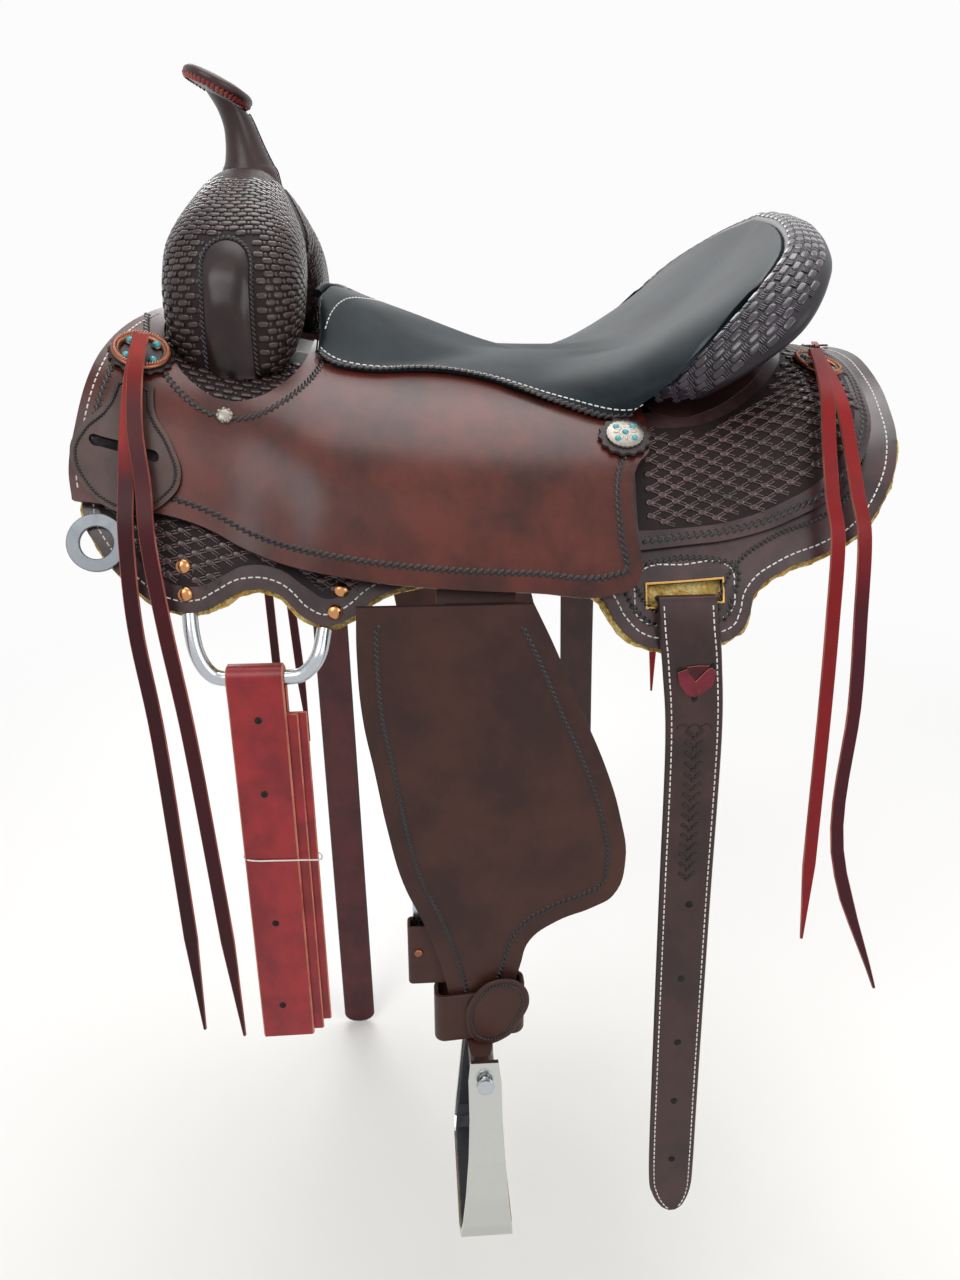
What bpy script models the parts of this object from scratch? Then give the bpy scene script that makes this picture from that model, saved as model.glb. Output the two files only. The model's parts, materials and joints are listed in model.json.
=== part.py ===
"""Western trail saddle as separate tree, leather, fleece and metal pieces.

Metres, +Z up. The horse faces -X, its near (left) side is -Y. The origin is on the
centre line under the lowest point of the seat, where the saddle rests on the back.
Leather is cut as a flat outline in (x, s) and wrapped: s is the distance from the
spine down over the back, and lift is the height of a layer above the back.
"""

import math

import bmesh
import bpy
import numpy as np
from mathutils import Matrix, Vector

# The back that the saddle is shaped to
BACK_HALF_WIDTH = 0.25
BACK_DEPTH = 0.210
BACK_ROCKER = 0.5
BACK_SQUARENESS = 2.5
CREASE_X = 0.060
CREASES_S = (0.0, 0.045, 0.09, 0.12, 0.15, 0.175, 0.2, 0.225, 0.25, 0.275, 0.3, 0.33, 0.37)

# Thickness of each layer and the air between layers
GAP = 0.0004
FLEECE = 0.010
SKIRT = 0.005
BAR = 0.022
STRAP = 0.004
JOCKEY = 0.0045
REAR_JOCKEY = 0.0035
FENDER = 0.0045
COVER = 0.0035
SEAT_PAD = 0.012

SKIRT_LIFT = FLEECE + GAP
BAR_LIFT = SKIRT_LIFT + SKIRT + GAP
BAR_TOP = BAR_LIFT + BAR
STRAP_LIFT = BAR_TOP + GAP
JOCKEY_LIFT = STRAP_LIFT + STRAP + GAP
REAR_JOCKEY_LIFT = SKIRT_LIFT + SKIRT + GAP
CHANNEL_LIFT = 0.0275

# Tree
FORK_X = -0.250
FORK_HALF_WIDTH = 0.173

# Horn
HORN_CAP_TILT = math.radians(26)
HORN_CAP_CENTRE = (-0.2705, 0.0, 0.2530)

# Seat and cantle
CANTLE_ROLL_THICKNESS = 0.013
CANTLE_BOARD = 0.012

# Hanging gear
FENDER_FACE = 0.2690
REAR_BILLET_Y = 0.2642
LATIGO_WIDTH = 0.040
BILLET_WIDTH = 0.044
STRING_WIDTH = 0.011
STRING_THICKNESS = 0.0026
STIRRUP_BOLT_Z = -0.490
STIRRUP_BOLT_X = -0.0745
STIRRUP_BOLT_RADIUS = 0.004
STIRRUP_WALL = 0.005

# Colour, roughness, metallic
FINISHES = {
    "brown_leather": ((0.105, 0.035, 0.022), 0.42, 0.0),
    "dark_stamped_leather": ((0.040, 0.022, 0.017), 0.50, 0.0),
    "black_seat_leather": ((0.022, 0.028, 0.033), 0.45, 0.0),
    "red_latigo": ((0.260, 0.020, 0.018), 0.45, 0.0),
    "burgundy_latigo": ((0.085, 0.016, 0.018), 0.50, 0.0),
    "fleece": ((0.660, 0.470, 0.160), 0.95, 0.0),
    "rawhide": ((0.620, 0.500, 0.330), 0.55, 0.0),
    "galvanised_steel": ((0.450, 0.460, 0.470), 0.45, 1.0),
    "stainless_steel": ((0.600, 0.600, 0.590), 0.28, 1.0),
    "polished_aluminium": ((0.800, 0.780, 0.720), 0.18, 1.0),
    "antique_copper": ((0.480, 0.270, 0.190), 0.35, 1.0),
    "brass": ((0.700, 0.480, 0.220), 0.30, 1.0),
    "black_rubber": ((0.012, 0.013, 0.018), 0.70, 0.0),
}

for old in list(bpy.data.objects):
    bpy.data.objects.remove(old)
saddle = bpy.data.collections.new("western_trail_saddle")
cutters = bpy.data.collections.new("cutters")
for group in (saddle, cutters):
    bpy.context.scene.collection.children.link(group)
cutters.hide_render = True


def material(name):
    found = bpy.data.materials.get(name)
    if found:
        return found
    colour, roughness, metallic = FINISHES[name]
    made = bpy.data.materials.new(name)
    made.use_nodes = True
    shader = made.node_tree.nodes["Principled BSDF"]
    shader.inputs["Base Color"].default_value = (*colour, 1.0)
    shader.inputs["Roughness"].default_value = roughness
    shader.inputs["Metallic"].default_value = metallic
    return made


def back_section(x, lift):
    """(y, z) of the lifted back at station x, as functions sampled at each crease."""
    depth = BACK_ROCKER * x * x + BACK_DEPTH
    angles = np.linspace(0, math.pi / 2, 97)
    power = 2 / BACK_SQUARENESS
    y = BACK_HALF_WIDTH * np.sin(angles) ** power
    z = depth * np.cos(angles) ** power
    length = np.concatenate([[0], np.cumsum(np.hypot(np.diff(y), np.diff(z)))])
    points = []
    for s in CREASES_S:
        angle = np.interp(s, length, angles)
        sine, cosine = max(math.sin(angle), 1e-9), max(math.cos(angle), 1e-9)
        slope = 2 - power
        normal = Vector((sine**slope / BACK_HALF_WIDTH, cosine**slope / depth)).normalized()
        at = Vector((BACK_HALF_WIDTH * sine**power, depth * cosine**power - BACK_DEPTH))
        points.append(at + lift(x, s) * normal)
    return points


def wrap(x, s, lift):
    """The point (x, s) of a flat pattern, wrapped on the creased back at this lift."""
    if not callable(lift):
        height = lift
        lift = lambda x, s: height
    column = math.floor(x / CREASE_X)
    share = x / CREASE_X - column
    ends = [back_section((column + i) * CREASE_X, lift) for i in (0, 1)]
    row = min(int(np.searchsorted(CREASES_S, s, side="right")) - 1, len(CREASES_S) - 2)
    low, high = CREASES_S[row], CREASES_S[row + 1]
    part = (s - low) / (high - low)
    if s > CREASES_S[-1]:
        drop = s - CREASES_S[-1]
        end = ends[0][-1].lerp(ends[1][-1], share)
        return Vector((x, end.x, end.y - drop))
    near, far = (e[row].lerp(e[row + 1], part) for e in ends)
    flat = near.lerp(far, share)
    return Vector((x, flat.x, flat.y))


def mirrored(point, side):
    return Vector((point.x, side * point.y, point.z))


def finish_object(name, bm, finish, merge=1e-6):
    """Makes a named node of a bmesh in world space, with its faces out and smooth."""
    bmesh.ops.remove_doubles(bm, verts=bm.verts, dist=merge)
    bmesh.ops.recalc_face_normals(bm, faces=bm.faces)
    mesh = bpy.data.meshes.new(name)
    bm.to_mesh(mesh)
    bm.free()
    mesh.materials.append(material(finish))
    mesh.shade_smooth()
    mesh.set_sharp_from_angle(angle=math.radians(35))
    node = bpy.data.objects.new(name, mesh)
    saddle.objects.link(node)
    return node


def flat_solid(loops, thickness, steps):
    """A bmesh of closed 2D outlines, the first one solid and the rest holes, filled and extruded.

    A point is (x, y) on a smooth run or (x, y, "corner")."""
    curve = bpy.data.curves.new("outline", "CURVE")
    curve.dimensions = "2D"
    curve.fill_mode = "BOTH"
    curve.extrude = thickness / 2
    curve.resolution_u = steps
    for loop in loops:
        spline = curve.splines.new("BEZIER")
        spline.bezier_points.add(len(loop) - 1)
        for knot, point in zip(spline.bezier_points, loop):
            knot.co = (point[0], point[1], 0)
            kind = "VECTOR" if len(point) > 2 else "AUTO"
            knot.handle_left_type = knot.handle_right_type = kind
        spline.use_cyclic_u = True
    holder = bpy.data.objects.new("outline", curve)
    saddle.objects.link(holder)
    bpy.context.view_layer.update()
    graph = bpy.context.evaluated_depsgraph_get()
    mesh = bpy.data.meshes.new_from_object(holder.evaluated_get(graph))
    bm = bmesh.new()
    bm.from_mesh(mesh)
    bpy.data.objects.remove(holder)
    bpy.data.meshes.remove(mesh)
    bmesh.ops.remove_doubles(bm, verts=bm.verts, dist=1e-5)
    bmesh.ops.dissolve_limit(bm, angle_limit=math.radians(1), verts=bm.verts, edges=bm.edges)
    return bm


def cut_line(bm, place, direction):
    everything = bm.verts[:] + bm.edges[:] + bm.faces[:]
    bmesh.ops.bisect_plane(bm, geom=everything, dist=1e-6, plane_co=place, plane_no=direction)


def crease(bm):
    """Cuts a flat pattern along every crease of the shared grid that crosses it."""
    xs = [v.co.x for v in bm.verts]
    ss = [v.co.y for v in bm.verts]
    for s in CREASES_S:
        if min(ss) < s < max(ss):
            cut_line(bm, (0, s, 0), (0, 1, 0))
    for column in range(math.floor(min(xs) / CREASE_X) + 1, math.ceil(max(xs) / CREASE_X)):
        cut_line(bm, (column * CREASE_X, 0, 0), (1, 0, 0))


def leather(name, loops, lift, thickness, side, finish, steps=2):
    """A wrapped piece of leather whose inner face lies at lift."""
    bm = flat_solid(loops, thickness, steps)
    crease(bm)
    if callable(lift):
        outer = lambda x, s: lift(x, s) + thickness
    else:
        outer = lift + thickness
    for vert in bm.verts:
        chosen = outer if vert.co.z > 0 else lift
        vert.co = mirrored(wrap(vert.co.x, vert.co.y, chosen), side)
    return finish_object(name, bm, finish)


def plate(name, loops, inner, thickness, side, finish, steps=2):
    """A flat piece hanging in an XZ plane, its inner face at y = inner."""
    bm = flat_solid(loops, thickness, steps)
    for vert in bm.verts:
        y = inner + (thickness if vert.co.z > 0 else 0)
        vert.co = Vector((vert.co.x, side * y, vert.co.y))
    return finish_object(name, bm, finish)


def slab(name, outer, inner, finish, closed=False):
    """A solid between two grids of points, outer[i][j] and inner[i][j]."""
    bm = bmesh.new()
    rows, columns = len(outer), len(outer[0])
    top = [[bm.verts.new(p) for p in row] for row in outer]
    low = [[bm.verts.new(p) for p in row] for row in inner]

    def face(*corners):
        bm.faces.new(corners)

    last = columns if closed else columns - 1
    for i in range(rows - 1):
        for j in range(last):
            k = (j + 1) % columns
            face(top[i][j], top[i + 1][j], top[i + 1][k], top[i][k])
            face(low[i][j], low[i][k], low[i + 1][k], low[i + 1][j])
    for i in (0, rows - 1):
        for j in range(last):
            k = (j + 1) % columns
            face(top[i][j], top[i][k], low[i][k], low[i][j])
    if not closed:
        for i in range(rows - 1):
            for j in (0, columns - 1):
                face(top[i][j], low[i][j], low[i + 1][j], top[i + 1][j])
    return finish_object(name, bm, finish)


def loft(name, rings, finish):
    """A closed solid through rings of points, with flat ends."""
    bm = bmesh.new()
    made = [[bm.verts.new(p) for p in ring] for ring in rings]
    count = len(made[0])
    for a, b in zip(made, made[1:]):
        for j in range(count):
            k = (j + 1) % count
            bm.faces.new((a[j], a[k], b[k], b[j]))
    bm.faces.new(made[0])
    bm.faces.new(made[-1])
    return finish_object(name, bm, finish)


def tube(name, points, radius, finish, sides=2):
    curve = bpy.data.curves.new(name, "CURVE")
    curve.dimensions = "3D"
    curve.bevel_depth = radius
    curve.bevel_resolution = sides
    curve.use_fill_caps = True
    spline = curve.splines.new("POLY")
    spline.points.add(len(points) - 1)
    for knot, point in zip(spline.points, points):
        knot.co = (*point, 1)
    holder = bpy.data.objects.new(name, curve)
    saddle.objects.link(holder)
    bpy.context.view_layer.update()
    graph = bpy.context.evaluated_depsgraph_get()
    mesh = bpy.data.meshes.new_from_object(holder.evaluated_get(graph))
    bm = bmesh.new()
    bm.from_mesh(mesh)
    bpy.data.objects.remove(holder)
    bpy.data.meshes.remove(mesh)
    return finish_object(name, bm, finish, merge=1e-5)


def smooth_path(points, count):
    """A centripetal walk of count points along a Catmull-Rom curve through the given ones."""
    knots = [Vector(p) for p in points]
    knots = [2 * knots[0] - knots[1]] + knots + [2 * knots[-1] - knots[-2]]
    spans = len(knots) - 3
    walk = []
    for i in range(count):
        place = i * spans / (count - 1)
        k = min(int(place), spans - 1)
        t = place - k
        a, b, c, d = knots[k : k + 4]
        walk.append(
            0.5 * (2 * b + (c - a) * t + (2 * a - 5 * b + 4 * c - d) * t**2 + (3 * b - a - 3 * c + d) * t**3)
        )
    return walk


def ramp(value, start, end):
    """0 before start, 1 after end, and smooth between them."""
    t = min(max((value - start) / (end - start), 0), 1)
    return t * t * (3 - 2 * t)


# Lifts that change over the surface


def seat_jockey_lift(x, s):
    """Over the bars, then down to the skirt in front and clear of the fender farther back."""
    front = JOCKEY_LIFT - (JOCKEY_LIFT - 0.0205) * ramp(s, 0.165, 0.262)
    middle = JOCKEY_LIFT - (JOCKEY_LIFT - 0.0315) * ramp(s, 0.195, 0.292)
    share = ramp(x, -0.245, -0.180)
    return front + (middle - front) * share


def rear_jockey_lift(x, s):
    over_bar = (1 - ramp(x, 0.150, 0.215)) * (1 - ramp(s, 0.165, 0.235))
    return REAR_JOCKEY_LIFT + (JOCKEY_LIFT - REAR_JOCKEY_LIFT) * over_bar


def strainer_lift(x, s):
    return CHANNEL_LIFT + (STRAP_LIFT - CHANNEL_LIFT) * ramp(abs(s), 0.0, 0.045)


# Outlines in (x, s), metres

SKIRT_EDGE = [
    (-0.292, 0.030, "corner"), (-0.318, 0.100), (-0.335, 0.170), (-0.345, 0.230), (-0.345, 0.268),
    (-0.337, 0.283), (-0.319, 0.301), (-0.292, 0.314), (-0.268, 0.311), (-0.254, 0.302), (-0.238, 0.292),
    (-0.217, 0.291), (-0.199, 0.304), (-0.184, 0.308), (-0.168, 0.302), (-0.145, 0.284), (-0.100, 0.270),
    (-0.040, 0.268), (-0.005, 0.272), (0.012, 0.280), (0.025, 0.300), (0.040, 0.313), (0.062, 0.318),
    (0.098, 0.317), (0.114, 0.311), (0.121, 0.299), (0.125, 0.286), (0.147, 0.273), (0.180, 0.265),
    (0.205, 0.255), (0.229, 0.230), (0.243, 0.200), (0.250, 0.156), (0.255, 0.110), (0.260, 0.060),
    (0.260, 0.006, "corner"), (0.195, 0.006, "corner"), (0.180, 0.020), (0.000, 0.022), (-0.200, 0.026),
]
REAR_SLOT = ((0.046, 0.101), (0.2740, 0.2885))

JOCKEY_FRONT_EDGE = [
    (-0.306, 0.083, "corner"), (-0.315, 0.107), (-0.328, 0.141), (-0.338, 0.175), (-0.347, 0.213),
    (-0.352, 0.241), (-0.350, 0.259, "corner"), (-0.315, 0.256), (-0.290, 0.255), (-0.263, 0.258),
    (-0.236, 0.267), (-0.205, 0.274), (-0.168, 0.277), (-0.110, 0.2785), (-0.040, 0.279), (0.022, 0.280),
    (0.036, 0.273),
]
JOCKEY_REAR_EDGE = [(0.0345, 0.243), (0.0345, 0.221), (0.040, 0.206), (0.050, 0.196),
    (0.052, 0.165, "corner")]
JOCKEY_TOP_EDGE = [
    (0.045, 0.140, "corner"), (-0.008, 0.128), (-0.061, 0.096), (-0.116, 0.090), (-0.165, 0.092),
    (-0.196, 0.080, "corner"),
]
CUTOUT_BOTTOM = 0.180
CUTOUT_HALF_WIDTH = 0.0535


def cutout(start, end, clear=0.0, count=9):
    """The U around the foot of the swell, as points from its rear edge to its front edge."""
    points = []
    for i in range(count):
        angle = start + (end - start) * i / (count - 1)
        x = FORK_X + (CUTOUT_HALF_WIDTH + clear) * math.cos(angle)
        points.append((x, 0.100 + (CUTOUT_BOTTOM + clear - 0.100) * math.sin(angle)))
    return points


FENDER_EDGE = [
    (-0.110, -0.1070), (-0.161, -0.1110, "corner"), (-0.162, -0.140), (-0.160, -0.188), (-0.153, -0.232),
    (-0.145, -0.282), (-0.135, -0.327), (-0.118, -0.370), (-0.106, -0.410), (-0.098, -0.452, "corner"),
    (-0.054, -0.452, "corner"), (-0.044, -0.408), (-0.037, -0.385), (-0.016, -0.368), (0.013, -0.356),
    (0.028, -0.346), (0.036, -0.315), (0.030, -0.276), (0.017, -0.234), (-0.003, -0.187), (-0.024, -0.137),
    (-0.0385, -0.1085, "corner"), (-0.060, -0.1065),
]

# Cantle rim from the top of the cantle down to its near front end, as (x, y, z)
CANTLE_RIM = [
    (0.182, 0.000, 0.155), (0.174, 0.074, 0.147), (0.160, 0.138, 0.132), (0.143, 0.172, 0.114),
    (0.110, 0.190, 0.080), (0.080, 0.192, 0.050), (0.045, 0.173, 0.0225),
]
SEAT_CENTRE = [
    (-0.168, 0.096), (-0.117, 0.079), (-0.084, 0.067), (-0.052, 0.056), (-0.019, 0.048), (0.015, 0.045),
    (0.050, 0.047), (0.085, 0.056), (0.118, 0.076), (0.148, 0.105), (0.170, 0.133), (0.182, 0.155),
]
SEAT_EDGE = [
    (-0.191, 0.113), (-0.186, 0.123), (-0.173, 0.131), (-0.146, 0.130), (-0.116, 0.121), (-0.089, 0.119),
    (-0.061, 0.127), (-0.035, 0.142), (-0.008, 0.158), (0.020, 0.171), (0.045, 0.172),
]
SEAT_FRONT = [
    (-0.168, 0.000, 0.096), (-0.173, 0.030, 0.099), (-0.184, 0.055, 0.100), (-0.190, 0.080, 0.088),
    (-0.191, 0.105, 0.058),
]
SEAT_PAD_LIFT = JOCKEY_LIFT + JOCKEY + 3 * GAP
SEAT_EDGE_THICKNESS = 0.003


def seat_floor(x, s):
    """Under the seat: over the strainer in the middle, over the jockeys at the sides."""
    middle = CHANNEL_LIFT + 0.005
    return middle + (SEAT_PAD_LIFT - middle) * ramp(s, 0.0, 0.045)


def layer_height(x, y, lift):
    """The height of a wrapped layer above the point (x, y)."""
    rows = [wrap(x, s, lift) for s in CREASES_S]
    return float(np.interp(abs(y), [p.y for p in rows], [p.z for p in rows]))


def seat_half(rows, columns):
    """Points on top of the near half of the seat, from its front to the cantle, as (x, y, z)."""
    centre = smooth_path([(x, 0, z) for x, z in SEAT_CENTRE], rows)
    edge = smooth_path([(*wrap(x, s, SEAT_PAD_LIFT),) for x, s in SEAT_EDGE], rows)
    front = smooth_path(SEAT_FRONT, columns)
    rim = smooth_path(CANTLE_RIM, columns)
    edge[0], edge[-1] = front[-1], rim[-1]
    half = []
    for i in range(rows):
        u = i / (rows - 1)
        line = []
        for j in range(columns):
            v = j / (columns - 1)
            blend = (v, v, v * v)
            run = Vector([centre[i][k] + (edge[i][k] - centre[i][k]) * blend[k] for k in range(3)])
            start = Vector([centre[0][k] + (edge[0][k] - centre[0][k]) * blend[k] for k in range(3)])
            end = Vector([centre[-1][k] + (edge[-1][k] - centre[-1][k]) * blend[k] for k in range(3)])
            point = run + (front[j] - start) * (1 - u) ** 2 + (rim[j] - end) * u**2
            least = layer_height(point.x, point.y, seat_floor) + SEAT_EDGE_THICKNESS
            point.z = max(point.z, least)
            line.append(point)
        half.append(line)
    return half


def build_seat():
    rows, columns = 14, 7
    half = seat_half(rows, columns)
    top = [[mirrored(p, -1) for p in line[:0:-1]] + line for line in half]
    under = []
    for i in range(rows):
        line = []
        for j in range(len(top[0])):
            along = top[min(i + 1, rows - 1)][j] - top[max(i - 1, 0)][j]
            across = top[i][min(j + 1, len(top[0]) - 1)] - top[i][max(j - 1, 0)]
            normal = along.cross(across).normalized()
            inward = 1 - abs(j - columns + 1) / (columns - 1)
            thick = SEAT_EDGE_THICKNESS + (SEAT_PAD - SEAT_EDGE_THICKNESS) * ramp(inward, 0, 0.5)
            thick = SEAT_EDGE_THICKNESS + (thick - SEAT_EDGE_THICKNESS) * ramp(i, 0, 3)
            thick = SEAT_EDGE_THICKNESS + (thick - SEAT_EDGE_THICKNESS) * ramp(rows - 1 - i, 0, 4)
            point = top[i][j] - normal * thick
            point.z = max(point.z, layer_height(point.x, point.y, seat_floor))
            line.append(point)
        under.append(line)
    slab("seat", top, under, "black_seat_leather")
    binding = [p + Vector((-0.0061, 0, -0.001)) for p in smooth_path(SEAT_FRONT, 9)[:6]]
    path = [mirrored(p, -1) for p in binding[:0:-1]] + binding
    tube("handhole_binding", path, 0.0035, "black_seat_leather", sides=1)


CANTLE_OUTER = [
    (0.224, 0.000, 0.150), (0.212, 0.078, 0.136), (0.195, 0.146, 0.118), (0.181, 0.184, 0.104),
    (0.164, 0.210, 0.085), (0.146, 0.219, 0.066), (0.118, 0.212, 0.042), (0.090, 0.190, 0.0215),
]


def build_cantle():
    count = 15
    rim = smooth_path(CANTLE_RIM, count)
    outer = smooth_path(CANTLE_OUTER, count)
    rings = []
    for i in range(count):
        across = outer[i] - rim[i]
        along = rim[min(i + 1, count - 1)] - rim[max(i - 1, 0)]
        up = across.cross(along).normalized()
        up = up if up.z > 0 else -up
        start = rim[i] + across * 0.095
        thick = CANTLE_ROLL_THICKNESS
        section = ((0, -0.4), (0, 0.1), (0.16, 0.42), (0.5, 0.56), (0.84, 0.42), (1, 0.05),
            (0.93, -0.32), (0.5, -0.44))
        rings.append([start + across * 0.905 * a + up * thick * b for a, b in section])
    whole = [[mirrored(p, -1) for p in ring] for ring in rings[:0:-1]] + rings
    loft("cantle_roll", whole, "dark_stamped_leather")
    board_out, board_in, back_out, back_in = [], [], [], []
    for i in range(-8, 9):
        k = abs(i)
        side = 1 if i >= 0 else -1
        top = rim[k].lerp(outer[k], 0.62) + Vector((0, 0, -0.0165))
        foot_y = 0.128 * k / 8
        foot_x = 0.176 - 0.030 * (k / 8) ** 2
        foot = Vector((foot_x, foot_y, layer_height(foot_x, foot_y, cantle_foot_lift)))
        rows = []
        for back in (-CANTLE_BOARD, 0.0, GAP, GAP + COVER):
            line = []
            for j in range(5):
                point = foot.lerp(top, j / 4)
                point.x += back + 0.006 * math.sin(math.pi * j / 4)
                point.z = max(point.z, layer_height(point.x, point.y, cantle_foot_lift))
                line.append(mirrored(point, side))
            rows.append(line)
        board_in.append(rows[0])
        board_out.append(rows[1])
        back_in.append(rows[2])
        back_out.append(rows[3])
    slab("cantle_board", board_out, board_in, "rawhide")
    slab("cantle_back", back_out, back_in, "dark_stamped_leather")


def cantle_foot_lift(x, s):
    return REAR_TOP_LIFT + 0.0006


def across_centre(x, s, lift):
    return mirrored(wrap(x, abs(s), lift), 1 if s >= 0 else -1)


def build_ground_seat():
    xs = [-0.160 + 0.260 * i / 6 for i in range(7)]
    ss = (-0.051, -0.045, -0.022, 0.0, 0.022, 0.045, 0.051)
    top = lambda x, s: strainer_lift(x, s) + 0.0030
    outer = [[across_centre(x, s, top) for s in ss] for x in xs]
    inner = [[across_centre(x, s, strainer_lift) for s in ss] for x in xs]
    slab("ground_seat", outer, inner, "galvanised_steel")


def turned(centre, tilt, offset):
    return Matrix.Translation(centre) @ Matrix.Rotation(tilt, 4, "Y") @ Matrix.Translation(offset)


def oval(matrix, rx, ry, around=16):
    steps = [2 * math.pi * i / around for i in range(around)]
    return [matrix @ Vector((rx * math.cos(a), ry * math.sin(a), 0)) for a in steps]


def build_horn():
    rings = [
        oval(Matrix.Translation((x, 0, z)) @ Matrix.Rotation(tilt, 4, "Y"), rx, ry)
        for x, z, tilt, rx, ry in (
            (-0.2502, 0.1926, 0.00, 0.0208, 0.0212), (-0.2508, 0.1990, 0.02, 0.0182, 0.0190),
            (-0.2525, 0.2100, 0.06, 0.0152, 0.0165), (-0.2550, 0.2220, 0.15, 0.0134, 0.0152),
            (-0.2590, 0.2330, 0.30, 0.0143, 0.0160),
        )
    ]
    rings.append(oval(turned(HORN_CAP_CENTRE, HORN_CAP_TILT, (0.0045, 0, -0.0060)), 0.0175, 0.0185))
    loft("horn", rings, "dark_stamped_leather")
    profile = (
        (0.019, -0.0056), (0.0255, -0.0048), (0.0285, -0.0015), (0.0285, 0.0015), (0.0262, 0.0042),
        (0.0185, 0.0060), (0.0090, 0.0068),
    )
    cap = [oval(turned(HORN_CAP_CENTRE, HORN_CAP_TILT, (0, 0, h)), r, r * 1.04, 24) for r, h in profile]
    loft("horn_cap", cap, "dark_stamped_leather")


# The swell: half widths and heights of its sections from the centre line out to its near end
SWELL_STATIONS = (0.0, 0.030, 0.052, 0.066, 0.080, 0.100, 0.122, 0.142, 0.157, 0.167, 0.173)
SWELL_TOPS = (0.192, 0.1905, 0.187, 0.183, 0.178, 0.169, 0.156, 0.140, 0.122, 0.106, 0.086)
SWELL_LOWS = (0.126, 0.124, 0.113, 0.092, 0.066, 0.050, 0.040, 0.034, 0.030, 0.034, 0.060)
SWELL_HALVES = (0.041, 0.043, 0.046, 0.048, 0.050, 0.0510, 0.0515, 0.049, 0.043, 0.032, 0.012)


def swell_ring(k, inset, around=16):
    """One section of the swell inside its surface by inset, its foot laid on the bar."""
    y = min(SWELL_STATIONS[k] * FORK_HALF_WIDTH / SWELL_STATIONS[-1], FORK_HALF_WIDTH - inset)
    half = max(SWELL_HALVES[k] - inset, 0.006)
    low = SWELL_LOWS[k]
    top = max(SWELL_TOPS[k] - inset, low + 0.012)
    middle, rise = (top + low) / 2, (top - low) / 2
    points = []
    for i in range(around):
        angle = 2 * math.pi * i / around
        cosine, sine = math.cos(angle), math.sin(angle)
        z = middle + rise * math.copysign(abs(sine) ** 0.8, sine)
        narrowing = 1 - 0.38 * ramp(z, 0.125, 0.200)
        x = FORK_X + half * narrowing * math.copysign(abs(cosine) ** 0.65, cosine)
        floor = layer_height(x, y, BAR_TOP + 2 * GAP) if y > 0.06 else 0
        points.append(Vector((x, y, max(z, floor))))
    return points


def swell_rings(inset):
    half = [swell_ring(k, inset) for k in range(len(SWELL_STATIONS))]
    return [[mirrored(p, -1) for p in ring] for ring in half[:0:-1]] + half


def build_fork():
    loft("fork", swell_rings(COVER + GAP), "rawhide")
    arc = [i % 16 for i in range(-2, 11)]
    outer = [[ring[j] for j in arc] for ring in swell_rings(0.0)]
    inner = [[ring[j] for j in arc] for ring in swell_rings(COVER)]
    slab("swell_cover", outer, inner, "dark_stamped_leather")


REAR_TOP_LIFT = BAR_TOP + GAP + REAR_JOCKEY


def rear_jockey_lift(x, s):
    """The rear jockey lies over the bar and falls to the skirt behind and below it."""
    over_bar = (1 - ramp(x, 0.180, 0.240)) * (1 - ramp(s, 0.160, 0.235))
    return REAR_JOCKEY_LIFT + (BAR_TOP + GAP - REAR_JOCKEY_LIFT) * over_bar


def rear_jockey_top(x, s):
    return rear_jockey_lift(x, s) + REAR_JOCKEY


BAR_EDGE = [
    (-0.288, 0.070), (-0.282, 0.047), (-0.250, 0.043), (0.000, 0.045), (0.140, 0.045), (0.168, 0.058),
    (0.172, 0.090), (0.158, 0.126), (0.120, 0.145), (0.020, 0.158), (-0.060, 0.174), (-0.160, 0.174),
    (-0.230, 0.168), (-0.270, 0.150), (-0.286, 0.110),
]
REAR_JOCKEY_EDGE = [
    (0.110, 0.012, "corner"), (0.227, 0.012, "corner"), (0.229, 0.060), (0.227, 0.105), (0.219, 0.150),
    (0.205, 0.190), (0.180, 0.220), (0.150, 0.238), (0.115, 0.248), (0.070, 0.250), (0.030, 0.252, "corner"),
    (0.030, 0.165, "corner"), (0.060, 0.158), (0.095, 0.140), (0.105, 0.120), (0.110, 0.060),
]


def box_loop(x0, x1, y0, y1):
    return [(x0, y0, "corner"), (x1, y0, "corner"), (x1, y1, "corner"), (x0, y1, "corner")]


def ribbon(name, path, width, thickness, finish, across=Vector((1, 0, 0))):
    """A flat strap along a path, its width square to the path and as near to across as it can be."""
    path = [Vector(p) for p in path]
    widths = width if isinstance(width, (list, tuple)) else [width] * len(path)
    rings = []
    for i, (point, wide) in enumerate(zip(path, widths)):
        tangent = (path[min(i + 1, len(path) - 1)] - path[max(i - 1, 0)]).normalized()
        side = (across - tangent * across.dot(tangent)).normalized()
        face = tangent.cross(side)
        rings.append(
            [point + side * wide / 2 * a + face * thickness / 2 * b for a, b in ((-1, -1), (1, -1),
                (1, 1), (-1, 1))]
        )
    return loft(name, rings, finish)


def surface_frame(x, s, lift, side):
    """A frame on a wrapped layer: z out of the surface, x along the saddle."""
    step = 0.006
    along = (wrap(x + step, s, lift) - wrap(x - step, s, lift)).normalized()
    down = wrap(x, s + step, lift) - wrap(x, s - step, lift)
    normal = along.cross(down)
    normal = (normal if normal.y > 0 else -normal).normalized()
    up = normal.cross(along)
    base = wrap(x, s, lift)
    columns = [mirrored(v, side) for v in (along, up, normal)]
    frame = Matrix([[columns[c][r] for c in range(3)] for r in range(3)]).to_4x4()
    return Matrix.Translation(mirrored(base, side)) @ frame


def disc(name, frame, profile, finish, around=20):
    rings = [oval(frame @ Matrix.Translation((0, 0, h)), r, r, around) for r, h in profile]
    return loft(name, rings, finish)


def jockey_top(x, s):
    return seat_jockey_lift(x, s) + JOCKEY


def skirt_top(x, s):
    return SKIRT_LIFT + SKIRT


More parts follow.
